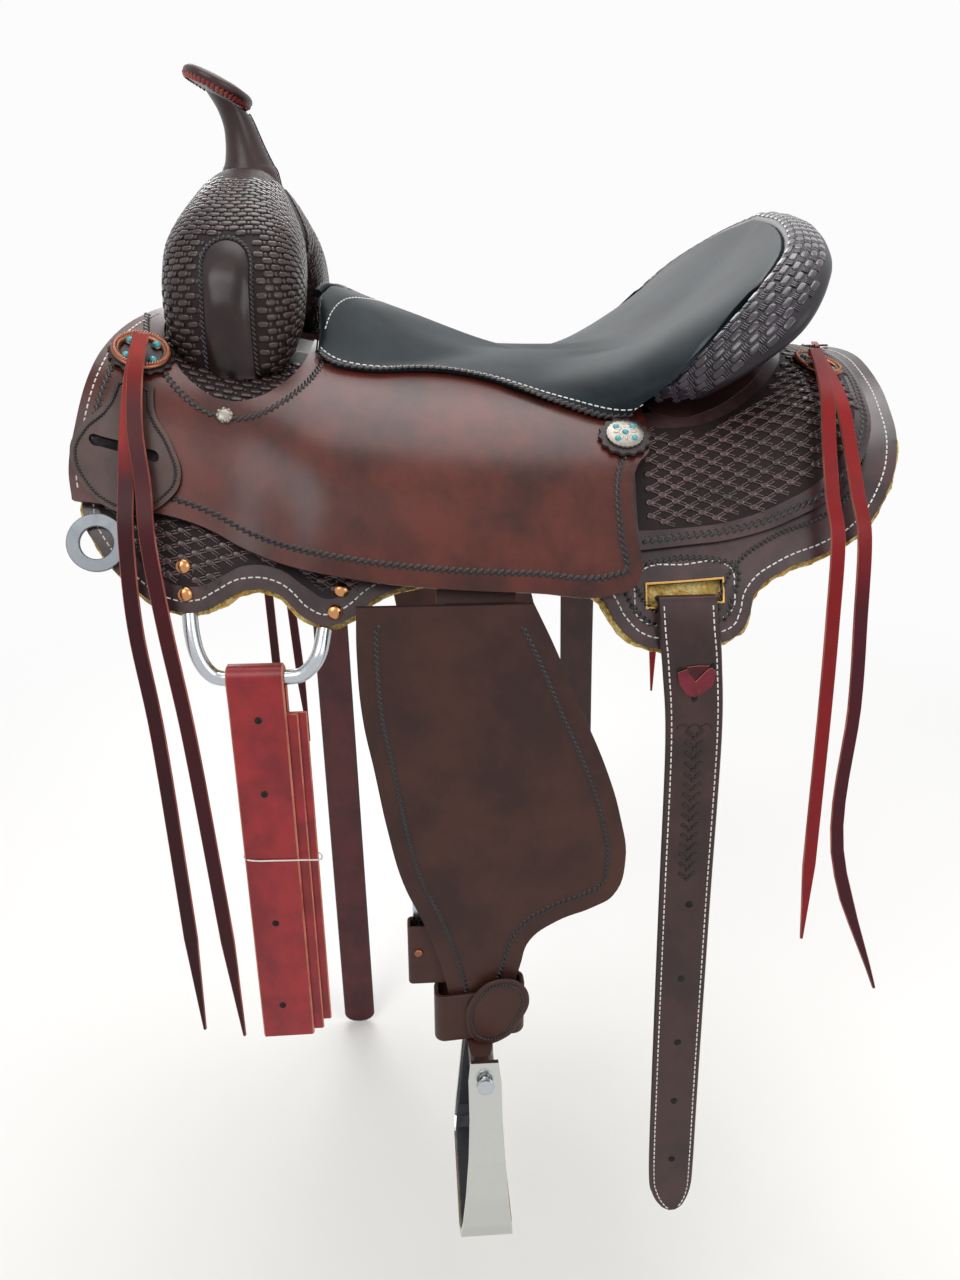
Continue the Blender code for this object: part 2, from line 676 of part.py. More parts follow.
def loop_lift(x, s):
    """The stirrup leather over the bar, then down under the jockey to the fender."""
    return STRAP_LIFT - (STRAP_LIFT - 0.0190) * ramp(s, 0.172, 0.235) + 0.0024 * ramp(s, 0.245, 0.290)


def keeper_lift(x, s):
    return jockey_top(x, s) + GAP


KEEPER_EDGE = [
    (-0.322, 0.183, "corner"), (-0.328, 0.200), (-0.343, 0.216), (-0.350, 0.232), (-0.343, 0.248),
    (-0.326, 0.259), (-0.306, 0.259), (-0.288, 0.248), (-0.278, 0.232), (-0.284, 0.214), (-0.295, 0.199),
    (-0.297, 0.183, "corner"),
]
KEEPER_SLOT = [
    (-0.337, 0.220, "corner"), (-0.292, 0.220, "corner"), (-0.294, 0.227, "corner"),
    (-0.335, 0.227, "corner"),
]


def tail(surface, lift, fall):
    """A string's tail: over the leather at this lift, then straight down beside it."""
    path = [wrap(x, s, lift) for x, s in surface]
    beside = path[-1].y + 0.004
    path += [Vector((x, beside + out, z)) for x, z, out in fall]
    return path


def doubled_string(name, side, inner, outer, finish):
    """One string through a concho: up its inner tail, over, and down its outer tail."""
    apart = (outer[0] - inner[0]) / 2
    climb = Vector((0, -apart.z, apart.y)).normalized() * apart.length
    crown = (inner[0] + outer[0]) / 2 + climb
    path = [mirrored(p, side) for p in inner[::-1] + [crown] + outer]
    ribbon(name, path, STRING_WIDTH, STRING_THICKNESS, finish)


def build_strings(side, tag):
    over = lambda height: lambda x, s: jockey_top(x, s) + height
    inner = tail(
        [(-0.309, 0.158), (-0.3095, 0.185), (-0.311, 0.215), (-0.312, 0.245), (-0.312, 0.275)],
        over(0.0104), [(-0.312, -0.120, 0.001), (-0.306, -0.200, 0.001), (-0.302, -0.320, 0.001),
            (-0.298, -0.463, 0.001)],
    )
    outer = tail(
        [(-0.307, 0.158), (-0.3065, 0.185), (-0.305, 0.215), (-0.300, 0.245), (-0.297, 0.275)],
        over(0.0140), [(-0.291, -0.120, 0.002), (-0.283, -0.200, 0.002), (-0.275, -0.320, 0.002),
            (-0.266, -0.467, 0.002)],
    )
    doubled_string(f"front_strings_{tag}", side, inner, outer, "red_latigo")
    above = lambda height: lambda x, s: rear_jockey_top(x, s) + height
    inner = tail(
        [(0.202, 0.116), (0.200, 0.145), (0.199, 0.175), (0.199, 0.205), (0.200, 0.235), (0.201, 0.262)],
        above(0.0098), [(0.204, -0.130, 0.001), (0.209, -0.200, 0.001), (0.212, -0.325, 0.001),
            (0.262, -0.462, 0.001)],
    )
    outer = tail(
        [(0.200, 0.116), (0.192, 0.145), (0.185, 0.175), (0.181, 0.205), (0.180, 0.235), (0.180, 0.262)],
        above(0.0134), [(0.181, -0.130, 0.002), (0.184, -0.200, 0.002), (0.187, -0.300, 0.002),
            (0.190, -0.404, 0.002)],
    )
    doubled_string(f"rear_strings_{tag}", side, inner, outer, "red_latigo")


def build_side(side, tag):
    def name(text):
        return f"{text}_{tag}"

    leather(name("fleece"), [SKIRT_EDGE], 0.0, FLEECE, side, "fleece", steps=1)
    slot = box_loop(*REAR_SLOT[0], *REAR_SLOT[1])
    leather(name("skirt"), [SKIRT_EDGE, slot], SKIRT_LIFT, SKIRT, side, "dark_stamped_leather")
    leather(name("bar"), [BAR_EDGE], BAR_LIFT, BAR, side, "rawhide", steps=1)
    front = JOCKEY_FRONT_EDGE + JOCKEY_REAR_EDGE + JOCKEY_TOP_EDGE + cutout(0.0, math.pi)
    leather(name("jockey"), [front], seat_jockey_lift, JOCKEY, side, "brown_leather")
    leather(name("rear_jockey"), [REAR_JOCKEY_EDGE], rear_jockey_lift, REAR_JOCKEY, side, "brown_leather")
    loop = box_loop(-0.106, -0.050, 0.060, 0.296)
    leather(name("leather_loop"), [loop], loop_lift, STRAP, side, "brown_leather")

    dee = [
        wrap(-0.2770, 0.3150, 0.0135), (-0.2755, 0.2605, -0.1260), (-0.2720, 0.2660, -0.1400),
        (-0.2655, 0.2680, -0.1520), (-0.2560, 0.2680, -0.1575), (-0.2300, 0.2680, -0.1575),
        (-0.2060, 0.2680, -0.1575),
        (-0.1960, 0.2680, -0.1525), (-0.1885, 0.2662, -0.1420), wrap(-0.1850, 0.3108, 0.0135),
    ]
    path = [mirrored(p, side) for p in smooth_path([tuple(p) for p in dee], 21)]
    tube(name("rigging_dee"), path, 0.0054, "stainless_steel")

    ring = flat_solid([ring_loop(0.0200), ring_loop(0.0112)], 0.0034, 3)
    frame = surface_frame(-0.336, 0.2815, skirt_top(0, 0) + 0.0026, side)
    ring.transform(frame)
    finish_object(name("breast_dee"), ring, "stainless_steel")

    build_strings(side, tag)
    build_hanging_straps(side, tag)
    build_fender(side, tag)
    build_stirrup(side, tag)

    face = surface_frame(-0.309, 0.160, lambda x, s: jockey_top(x, s) + 0.0009, side)
    disc(name("front_concho"), face, ((0.0185, 0), (0.0195, 0.001), (0.0190, 0.0030),
        (0.0150, 0.0042)), "antique_copper")
    face = surface_frame(0.033, 0.187, lambda x, s: jockey_top(x, s) + 0.0010, side)
    disc(name("seat_concho"), face, ((0.0200, 0), (0.0200, 0.003), (0.0155, 0.0034), (0.0150, 0.0060),
        (0.009, 0.0072)), "antique_copper")
    face = surface_frame(0.202, 0.118, lambda x, s: rear_jockey_top(x, s) + 0.0009, side)
    disc(name("rear_concho"), face, ((0.0185, 0), (0.0195, 0.001), (0.0190, 0.0030),
        (0.0150, 0.0042)), "antique_copper")


def ring_loop(radius):
    return [(radius, 0), (0, radius), (-radius, 0), (0, -radius)]


def hanging_loop(x, bar_y, bar_z, bar_radius, front_y, ends, slant):
    """The path of a strap from its back tail up over a steel bar and down its front."""
    reach = bar_radius + GAP + STRAP / 2
    back_end, front_end = ends
    path = [(x, bar_y - reach, back_end)]
    for i in range(7):
        angle = math.pi - math.pi * i / 6
        path.append((x, bar_y + reach * math.cos(angle), bar_z + reach * math.sin(angle)))
    path.append((x, front_y, bar_z - 0.020))
    path.append((x, front_y, front_end))
    return [Vector((px + slant * (pz - bar_z), py, pz)) for px, py, pz in path]


def build_hanging_straps(side, tag):
    bar_z = -0.1575
    if tag == "near":
        leather("latigo_keeper_near", [KEEPER_EDGE, KEEPER_SLOT], keeper_lift, 0.0030, side, "brown_leather")
        path = hanging_loop(-0.2330, 0.2680, bar_z, 0.0056, 0.2752, (-0.300, -0.463), -0.012)
        ribbon("latigo_near", [mirrored(p, side) for p in path], LATIGO_WIDTH, STRAP, "red_latigo")
    else:
        path = hanging_loop(-0.2330, 0.2680, bar_z, 0.0056, 0.2752, (-0.230, -0.937), -0.018)
        ribbon("off_billet", [mirrored(p, side) for p in path], BILLET_WIDTH, STRAP, "burgundy_latigo")
    mouth = [wrap(0.0735, 0.2841, 0.0142), wrap(0.0735, 0.2841, 0.0165), wrap(0.0738, 0.2868, 0.0210)]
    fall = (
        (0.0745, -0.1300, 44), (0.0790, -0.1600, 44), (0.0845, -0.2200, 43), (0.0880, -0.3600, 42),
        (0.0930, -0.5400, 41),
        (0.0965, -0.6450, 40), (0.0985, -0.6720, 35), (0.1000, -0.6880, 22), (0.1004, -0.6940, 8),
    )
    path = mouth + [Vector((x, REAR_BILLET_Y, z)) for x, z, width in fall]
    widths = [0.044] * 3 + [width / 1000 for x, z, width in fall]
    ribbon(f"rear_billet_{tag}", [mirrored(p, side) for p in path], widths, STRAP, "dark_stamped_leather")


def build_fender(side, tag):
    plate(f"leather_lap_{tag}", [box_loop(-0.100, -0.044, -0.165, -0.107)], 0.2646, STRAP, side,
        "brown_leather")
    plate(f"fender_{tag}", [FENDER_EDGE], FENDER_FACE, FENDER, side, "dark_stamped_leather")
    x, y = -0.0765, 0.2618
    sections = (
        (-0.3300, 0.0200, 0.0032, y), (-0.4720, 0.0190, 0.0032, y), (-0.4765, 0.0130, 0.0090, 0.2650),
        (-0.4820, 0.0090, 0.0215, 0.2690), (-0.4990, 0.0090, 0.0225, 0.2690),
        (-0.5055, 0.0060, 0.0215, 0.2690),
    )
    rings = []
    for z, rx, ry, centre in sections:
        ring = []
        for i in range(12):
            angle = 2 * math.pi * (i + 0.5) / 12
            c, s = math.cos(angle), math.sin(angle)
            px = x + rx * math.copysign(abs(c) ** 0.35, c)
            py = centre + ry * math.copysign(abs(s) ** 0.35, s)
            ring.append(Vector((px, side * py, z)))
        rings.append(ring)
    strap = loft(f"stirrup_leather_{tag}", rings, "brown_leather")
    hole = y_cylinder(f"bolt_hole_{tag}", side * 0.269, STIRRUP_BOLT_RADIUS + GAP, 0.2)
    cut(strap, hole)
    frame = [box_loop(-0.1285, -0.0560, -0.410, -0.344), box_loop(-0.1180, -0.0640, -0.372, -0.353)]
    plate(f"buckle_{tag}", frame, 0.2563, 0.0016, side, "stainless_steel")
    wrap_ring(f"buckle_sleeve_{tag}", side, (-0.1330, -0.0470, 0.2530, 0.2684), 0.0025, (-0.426, -0.372),
        0.004)
    wrap_ring(f"hobble_strap_{tag}", side, (-0.1130, -0.0400, 0.2535, 0.2778), 0.0035, (-0.4720,
        -0.4300), 0.009)


def wrap_ring(name, side, box, wall, span, corner):
    """A closed band of leather round the straps, its hole running up and down."""
    x0, x1, y0, y1 = box
    rings = []
    for z, inset in ((span[0], 0), (span[1], 0), (span[1], wall), (span[0], wall)):
        radius = max(corner - inset, 0.0008)
        ring = []
        for cx, cy, turn in ((x1, y1, 0), (x0, y1, 1), (x0, y0, 2), (x1, y0, 3)):
            mx = cx + (inset + radius) * (1 if cx == x0 else -1)
            my = cy + (inset + radius) * (1 if cy == y0 else -1)
            for k in range(3):
                angle = math.pi / 2 * (turn + k / 2)
                ring.append(Vector((mx + radius * math.cos(angle),
                    side * (my + radius * math.sin(angle)), z)))
        rings.append(ring)
    bm = bmesh.new()
    made = [[bm.verts.new(p) for p in ring] for ring in rings]
    count = len(made[0])
    for a, b in zip(made, made[1:] + made[:1]):
        for j in range(count):
            k = (j + 1) % count
            bm.faces.new((a[j], a[k], b[k], b[j]))
    return finish_object(name, bm, "brown_leather")


def y_cylinder(name, y, radius, length):
    bm = bmesh.new()
    bmesh.ops.create_cone(
        bm, cap_ends=True, segments=16, radius1=radius, radius2=radius, depth=length,
        matrix=Matrix.Translation((STIRRUP_BOLT_X, y, STIRRUP_BOLT_Z)) @ Matrix.Rotation(math.pi / 2, 4, "X"),
    )
    mesh = bpy.data.meshes.new(name)
    bm.to_mesh(mesh)
    bm.free()
    cutter = bpy.data.objects.new(name, mesh)
    cutter.hide_render = True
    cutter.display_type = "WIRE"
    cutters.objects.link(cutter)
    return cutter


def cut(node, cutter):
    boolean = node.modifiers.new("cut", "BOOLEAN")
    boolean.object = cutter
    boolean.operation = "DIFFERENCE"
    boolean.solver = "EXACT"


STIRRUP_SIDE = [
    (0.0330, -0.4765), (0.0370, -0.4930), (0.0500, -0.5200), (0.0600, -0.5500), (0.0640, -0.5850),
    (0.0645, -0.6120), (0.0600, -0.6270), (0.0470, -0.6345),
]
STIRRUP_CENTRE_Y = 0.2690


def stirrup_path(inset):
    """The stirrup band from its near top down, across the tread and up, moved in by inset."""
    half = [Vector((y, z)) for y, z in STIRRUP_SIDE]
    path = [(p.x, p.y) for p in half] + [(-p.x, p.y) for p in half[::-1]]
    moved = []
    for i, (y, z) in enumerate(path):
        before, after = path[max(i - 1, 0)], path[min(i + 1, len(path) - 1)]
        tangent = Vector((after[0] - before[0], after[1] - before[1])).normalized()
        inner = Vector((tangent.y, -tangent.x))
        moved.append((y + inner.x * inset, z + inner.y * inset))
    return moved


def build_stirrup(side, tag):
    outer = stirrup_path(0.0)
    widths = [0.022, 0.026, 0.026, 0.029, 0.034, 0.039, 0.042, 0.044]
    widths = widths + widths[::-1]
    path = [Vector((STIRRUP_BOLT_X, side * (STIRRUP_CENTRE_Y + y), z)) for y, z in outer]
    band = ribbon(f"stirrup_{tag}", path, widths, STIRRUP_WALL, "polished_aluminium")
    cut(band, y_cylinder(f"stirrup_hole_{tag}", side * STIRRUP_CENTRE_Y, STIRRUP_BOLT_RADIUS + GAP, 0.2))
    lining = stirrup_path(STIRRUP_WALL / 2 + GAP + 0.0022)[2:-2]
    path = [Vector((STIRRUP_BOLT_X, side * (STIRRUP_CENTRE_Y + y), z)) for y, z in lining]
    ribbon(f"tread_{tag}", path, [w - 0.003 for w in widths[2:-2]], 0.0040, "black_rubber")
    rings = []
    for y, r in ((-0.0480, 0.0072), (-0.0425, 0.0072), (-0.0425, 0.0040), (0.0425, 0.0040),
        (0.0425, 0.0068), (0.0470, 0.0068)):
        ring = []
        for i in range(12):
            angle = 2 * math.pi * i / 12
            centre = (STIRRUP_BOLT_X + r * math.cos(angle), side * (STIRRUP_CENTRE_Y + y),
                STIRRUP_BOLT_Z + r * math.sin(angle))
            ring.append(Vector(centre))
        rings.append(ring)
    loft(f"stirrup_bolt_{tag}", rings, "stainless_steel")


build_fork()
build_horn()
build_ground_seat()
build_seat()
build_cantle()
for side, tag in ((-1, "near"), (1, "off")):
    build_side(side, tag)
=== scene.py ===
"""Look of the western trail saddle: leather, fleece, hardware, camera and light.

Metres, in the row frame: the horse faces -X, the near side is -Y and +Z is up.
Leather is cut flat as (x, s) and wrapped over the back, with s the distance from the spine.
"""

import json
import math

import bmesh
import bpy
import numpy as np
from mathutils import Matrix, Vector, noise
from mathutils.bvhtree import BVHTree
from mathutils.geometry import interpolate_bezier


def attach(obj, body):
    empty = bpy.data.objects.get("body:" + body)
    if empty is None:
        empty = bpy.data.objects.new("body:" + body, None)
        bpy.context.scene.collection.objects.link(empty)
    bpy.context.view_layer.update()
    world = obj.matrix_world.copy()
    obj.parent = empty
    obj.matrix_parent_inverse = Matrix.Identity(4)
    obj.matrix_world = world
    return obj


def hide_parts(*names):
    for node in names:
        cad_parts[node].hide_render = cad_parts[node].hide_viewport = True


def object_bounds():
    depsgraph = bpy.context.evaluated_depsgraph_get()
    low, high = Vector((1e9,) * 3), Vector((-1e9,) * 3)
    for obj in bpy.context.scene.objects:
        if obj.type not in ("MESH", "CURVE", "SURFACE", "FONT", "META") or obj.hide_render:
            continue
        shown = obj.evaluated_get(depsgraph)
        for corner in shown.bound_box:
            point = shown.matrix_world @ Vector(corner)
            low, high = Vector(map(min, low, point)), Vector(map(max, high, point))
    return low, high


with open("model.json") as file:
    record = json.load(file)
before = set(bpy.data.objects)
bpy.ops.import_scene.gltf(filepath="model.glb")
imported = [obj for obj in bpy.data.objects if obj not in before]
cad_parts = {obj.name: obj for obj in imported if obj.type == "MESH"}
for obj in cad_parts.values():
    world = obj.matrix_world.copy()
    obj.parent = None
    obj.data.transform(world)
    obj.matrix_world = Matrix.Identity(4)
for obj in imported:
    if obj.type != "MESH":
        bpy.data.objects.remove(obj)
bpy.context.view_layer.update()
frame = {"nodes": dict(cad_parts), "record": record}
nodes = frame["nodes"]

SIDES = (("near", -1), ("off", 1))
UP = Vector((0, 0, 1))

# The back that the leather lies on, rising to both ends
BACK_HALF_WIDTH = 0.25
BACK_DEPTH = 0.210
BACK_ROCKER = 0.5
BACK_POWER = 0.8

# Thicknesses
FLEECE = 0.010
SKIRT = 0.005
JOCKEY = 0.0045
REAR_JOCKEY = 0.0035
APRON = 0.0026
FENDER = 0.0045
STRAP = 0.004
KEEPER = 0.0030
ROSE_PETAL = 0.0012
ROLL = 0.0145
LAYER_GAP = 0.0004

# Heights above the back
SKIRT_IN = 0.0104
SKIRT_OUT = SKIRT_IN + SKIRT
BAR_TOP = 0.0378
APRON_IN = BAR_TOP + 0.0010
SEAT_FLOOR = 0.0335
SEAT_IN = 0.0483
JOCKEY_IN = 0.0426
JOCKEY_LOW = 0.0315
JOCKEY_LOW_FRONT = 0.0205

# The front rigging dee's lower bar and the straps that hang from it
DEE_Y = 0.2680
DEE_Z = -0.1575
DEE_BAR = 0.0056
CINCH_X = -0.2330
CINCH_Y = 0.2752

# Faces of what hangs upright, from the middle of the saddle
FENDER_FACE = 0.2690
BILLET_FACE = 0.2664
CINCH_FACE = CINCH_Y + STRAP / 2 + 0.0002
HOBBLE_FACE = 0.2785

# Patterns on a material are given as so many in a metre. The leather's pores are drawn about
# three times as coarse as on the real hide, so that they show.
PORES = 850


def linear(code):
    """A hex sRGB colour as linear RGBA."""
    parts = [int(code[i : i + 2], 16) / 255 for i in (1, 3, 5)]
    return tuple(p / 12.92 if p <= 0.04045 else ((p + 0.055) / 1.055) ** 2.4 for p in parts) + (1.0,)


def ramp(value, start, end):
    """0 before start and 1 after end, with a soft change between."""
    t = min(max((value - start) / (end - start), 0), 1)
    return t * t * (3 - 2 * t)


def squared(value, power):
    """A sine or cosine made fuller, for sections between a circle and a box."""
    return math.copysign(abs(value) ** power, value)


def full_turn(count):
    return [2 * math.pi * k / count for k in range(count)]


def half_turn(count):
    return [math.pi * k / count for k in range(count + 1)]


def arc(x, y, reach_x, reach_y, angles):
    return [(x + reach_x * math.cos(a), y + reach_y * math.sin(a)) for a in angles]


# Materials


def add(tree, kind, **values):
    """A shader node with its settings and inputs; an input given another node's output is linked to it."""
    node = tree.nodes.new("ShaderNode" + kind)
    for key, value in values.items():
        if hasattr(node, key) and key not in node.inputs:
            setattr(node, key, value)
            continue
        socket = node.inputs[int(key[1:])] if key[0] == "_" else node.inputs[key.replace("_", " ")]
        if isinstance(value, bpy.types.NodeSocket):
            tree.links.new(value, socket)
        else:
            socket.default_value = value
    return node


def new_material(name, **principled):
    mat = bpy.data.materials.new(name)
    mat.use_nodes = True
    shader = mat.node_tree.nodes["Principled BSDF"]
    for key, value in principled.items():
        shader.inputs[key.replace("_", " ")].default_value = value
    return mat, mat.node_tree, shader


def pattern_place(tree):
    """Pattern coordinates in metres, as the piece was cut."""
    return add(tree, "Attribute", attribute_name="cut").outputs["Vector"]


def mottle(tree, place, dark, light, clouds):
    """Clouds between two shades."""
    cloud = add(tree, "TexNoise", Vector=place, Scale=clouds, Detail=5.0, Roughness=0.6)
    spread = add(tree, "MapRange", Value=cloud.outputs["Fac"], _1=0.38, _2=0.62)
    mix = add(tree, "Mix", data_type="RGBA", _0=spread.outputs["Result"], _6=linear(dark), _7=linear(light))
    return mix.outputs[2]


def pores(tree, place, strength):
    """The fine grain that breaks up every highlight on leather."""
    grain = add(tree, "TexNoise", Vector=place, Scale=PORES, Detail=3.0)
    return add(tree, "Bump", Strength=strength, Distance=0.0004, Height=grain.outputs["Fac"])


def coloured(tree, shader, colour, bump):
    tree.links.new(colour, shader.inputs["Base Color"])
    tree.links.new(bump.outputs["Normal"], shader.inputs["Normal"])


def leather_material(name, dark, light, roughness=0.42, coat=0.15, clouds=22, shine=0.32):
    """Tanned cowhide: clouds of dye between two shades, fine pores and a finish that catches the light."""
    mat, tree, shader = new_material(
        name, Roughness=roughness, Specular_IOR_Level=shine, Coat_Weight=coat * 0.6, Coat_Roughness=0.24
    )
    place = pattern_place(tree)
    coloured(tree, shader, mottle(tree, place, dark, light, clouds), pores(tree, place, 0.18))
    return mat


def string_material(name, length, colours):
    """Latigo leather whose colour deepens along the string; colours are (share of its length, hex)."""
    mat, tree, shader = new_material(name, Roughness=0.42, Specular_IOR_Level=0.16)
    place = pattern_place(tree)
    along = add(tree, "SeparateXYZ", Vector=place)
    share = add(tree, "MapRange", Value=along.outputs["X"], _1=0.0, _2=length)
    shade = add(tree, "ValToRGB", Fac=share.outputs["Result"])
    stops = shade.color_ramp.elements
    for k, (position, code) in enumerate(colours):
        stop = stops[k] if k < 2 else stops.new(position)
        stop.position = position
        stop.color = linear(code)
    clouds = 70
    cloud = add(tree, "TexNoise", Vector=place, Scale=clouds, Detail=4.0).outputs["Color"]
    deeper = add(tree, "Mix", data_type="RGBA", blend_type="MULTIPLY", _0=0.45, _6=shade.outputs["Color"], _7=cloud)
    coloured(tree, shader, deeper.outputs[2], pores(tree, place, 0.2))
    return mat


def hard_material(name, colour, roughness, metallic=1.0):
    """A hard surface whose gloss wears unevenly, in small scuffs."""
    scuffs = 160
    mat, tree, shader = new_material(name, Roughness=roughness, Metallic=metallic)
    place = add(tree, "TexCoord").outputs["Object"]
    scuff = add(tree, "TexNoise", Vector=place, Scale=scuffs, Detail=4.0).outputs["Fac"]
    worn = add(tree, "MapRange", Value=scuff, _1=0.3, _2=0.7, _3=roughness * 0.75, _4=roughness * 1.35)
    tree.links.new(worn.outputs["Result"], shader.inputs["Roughness"])
    shader.inputs["Base Color"].default_value = linear(colour)
    return mat


def fleece_material():
    """Shorn sheepskin: quite matt, golden cream in clumps, with small curls that shade each other."""
    clumps, curls = 90, 330
    mat, tree, shader = new_material("fleece", Roughness=0.95)
    place = add(tree, "TexCoord").outputs["Object"]
    curl = add(tree, "TexVoronoi", Vector=place, Scale=curls)
    bump = add(tree, "Bump", Strength=0.9, Distance=0.0025, Height=curl.outputs["Distance"])
    coloured(tree, shader, mottle(tree, place, "#b98d34", "#e9cf86", clumps), bump)
    return mat


# Each is (what it is, dark shade, light shade, roughness, coat, clouds of dye, shine)
LEATHERS = {
    # Polished by the rider's legs: a warm brown with a soft gloss
    "jockey": ("brown jockey leather", "#33150f", "#5c281f", 0.33, 0.22, 15, 0.26),
    # Plain hide on the horn, the band and the billets, nearly black
    "smooth": ("dark smooth leather", "#2a1716", "#3d2323", 0.38, 0.2),
    # Rubbed dull by use, in large clouds
    "fender": ("brown fender leather", "#301b17", "#45271f", 0.46, 0.05, 12, 0.26),
    # Rubbed with a hard slicker, so that it mirrors the lamps
    "skirt": ("burnished skirt leather", "#2e1f20", "#4a3436", 0.28, 0.6, 30),
    # Stamping: matt and dark where the tool sank, glossy where the weave stands up
    "ground": ("stamped leather, sunk ground", "#170e0f", "#231516", 0.50, 0.0, 22, 0.18),
    "pads": ("stamped leather, raised weave", "#321f1d", "#4d3434", 0.25, 0.8, 40),
    "swell_pads": ("stamped swell leather, raised weave", "#271918", "#3b2a27", 0.30, 0.45, 40),
    "roll_ground": ("stamped roll leather, sunk ground", "#17131a", "#231d24", 0.45, 0.1),
    "roll_pads": ("stamped roll leather, raised weave", "#251c25", "#3c333e", 0.20, 1.0, 40),
    "collar": ("smooth dark swell leather", "#24161a", "#362427", 0.55, 0.0, 40, 0.12),
    "tongue": ("polished tongue leather", "#1c1010", "#2c1a1a", 0.32, 0.4, 40, 0.22),
    # Dyed lace; the heart petal, down in the fold, takes a darker copy of it as painted shade
    "rose": ("crimson lace", "#5c1724", "#742030", 0.40, 0.15, 60, 0.24),
    "rose_heart_shade": ("crimson lace in painted shade", "#3f0e18", "#511520", 0.45, 0.1, 60, 0.24),
    # Soft top-grain hide, black with a cold, faint sheen
    "seat": ("black seat leather", "#141b1e", "#222b30", 0.50, 0.0, 16, 0.10),
    # Oiled red straps and strings, waxy bright
    "latigo": ("red latigo leather", "#75141a", "#931f24", 0.34, 0.3, 30),
    "string": ("red string leather", "#7c2826", "#9c4034", 0.42, 0.2, 50),
    "dark_string": ("dark red string leather", "#3a151b", "#541f26", 0.42, 0.2, 50),
    "burgundy": ("burgundy latigo leather", "#3b1518", "#4f1e21", 0.42, 0.2),
    "keeper": ("brown keeper leather", "#38241f", "#4b332c", 0.40, 0.15, 40),
    # Cut edges: inked and slicked dark, or left raw and pale
    "edge": ("dark burnished edge", "#1d1213", "#2a1b1b", 0.5, 0.1),
    "raw_edge": ("pale cut edge", "#a3503f", "#d08a72", 0.7, 0.0),
    "string_edge": ("cut string edge", "#7c3a31", "#b0695a", 0.6, 0.0),
    # Tooled lines hold dye and look almost black
    "rope": ("dark tooled rope line", "#140d0e", "#241819", 0.38, 0.3),
    # Waxed linen, matt and nearly white
    "thread": ("white thread", "#cfcbc4", "#efece6", 0.6, 0.0),
}
FRONT_STRING_COLOURS = (
    (0.0, "#32141a"), (1.0, "#3f171d"), (0.455, "#42181d"), (0.49, "#a02a25"), (0.60, "#98281f"), (0.645, "#4f1a20"),
)
REAR_STRING_COLOURS = ((0.0, "#3f151f"), (1.0, "#8a1c20"), (0.42, "#521a24"), (0.48, "#8a2426"), (0.60, "#9c2425"))

M = {key: leather_material(*row) for key, row in LEATHERS.items()}
M |= {
    # The front string is fresh red only by its concho; the rear one has a dark tail and a red one
    "front_string": string_material("front string leather", 0.97, FRONT_STRING_COLOURS),
    "rear_string": string_material("rear string leather", 0.84, REAR_STRING_COLOURS),
    "fleece": fleece_material(),
    # Mirror-like, with the studio in it
    "steel": hard_material("polished stainless steel", "#b9bdc2", 0.22),
    "aluminium": hard_material("polished aluminium", "#c3c4bf", 0.20),
    # Greyed and blurred by wear
    "nickel": hard_material("worn nickel", "#777b80", 0.34),
    "copper": hard_material("antiqued copper", "#8c5c49", 0.34),
    "silver": hard_material("antiqued silver", "#908a82", 0.36),
    # Small warm glints
    "gold_copper": hard_material("bright copper rivet", "#c08a5e", 0.22),
    "brass": hard_material("brass", "#c79a5a", 0.25),
    # Matt black against the bright stirrup
    "rubber": hard_material("black rubber", "#15171f", 0.55, metallic=0.0),
    # Polished stone with a small highlight
    "turquoise": hard_material("turquoise stone", "#3fa3ad", 0.22, metallic=0.0),
    # Painted shade: a flat near-black that stands in for the dark inside of holes, slits and the keeper's slot
    "hole": hard_material("punched hole", "#0a0607", 0.9, metallic=0.0),
}

# The back and the layers on it

ANGLES = np.linspace(0, math.pi / 2, 97)
SINES = np.sin(ANGLES) ** BACK_POWER
COSINES = np.cos(ANGLES) ** BACK_POWER


def back(x, s):
    """(y, z, normal) of the back at (x, s)."""
    depth = BACK_ROCKER * x * x + BACK_DEPTH
    y = BACK_HALF_WIDTH * SINES
    z = depth * COSINES
    length = np.concatenate([[0], np.cumsum(np.hypot(np.diff(y), np.diff(z)))])
    if s > length[-1]:
        return BACK_HALF_WIDTH, -BACK_DEPTH - (s - length[-1]), (1.0, 0.0)
    angle = float(np.interp(s, length, ANGLES))
    sine, cosine = max(math.sin(angle), 1e-9), max(math.cos(angle), 1e-9)
    ny, nz = sine**1.2 / BACK_HALF_WIDTH, cosine**1.2 / depth
    size = math.hypot(ny, nz)
    return BACK_HALF_WIDTH * sine**BACK_POWER, depth * cosine**BACK_POWER - BACK_DEPTH, (ny / size, nz / size)


def wrap(x, s, lift, side=1):
    y, z, normal = back(x, max(s, 0))
    return Vector((x, side * (y + lift * normal[0]), z + lift * normal[1]))


def on_back(lift, side):
    """A place function for leather whose inner face lies at lift, a height or a function of (x, s)."""
    if callable(lift):
        return lambda x, s, h: wrap(x, s, lift(x, s) + h, side)
    return lambda x, s, h: wrap(x, s, lift + h, side)


def hanging(face, side):
    """A place function for a flat piece in an upright plane."""
    return lambda x, z, h: Vector((x, side * (face + h), z))


def lifted(place, height):
    return lambda x, s, h: place(x, s, h + height)


def mirrored(path, side):
    return [Vector((p.x, side * p.y, p.z)) for p in path]


def both_halves(rings):
    """Rings from the middle to the off side, joined to their mirror images."""
    return [mirrored(ring, -1) for ring in rings[:0:-1]] + rings


def jockey_in(x, s):
    """The jockey's inner face, which sinks from the bar to the skirt, deeper in front."""
    front = JOCKEY_IN - (JOCKEY_IN - JOCKEY_LOW_FRONT) * ramp(s, 0.165, 0.262)
    middle = JOCKEY_IN - (JOCKEY_IN - JOCKEY_LOW) * ramp(s, 0.195, 0.292)
    return front + (middle - front) * ramp(x, -0.245, -0.180)


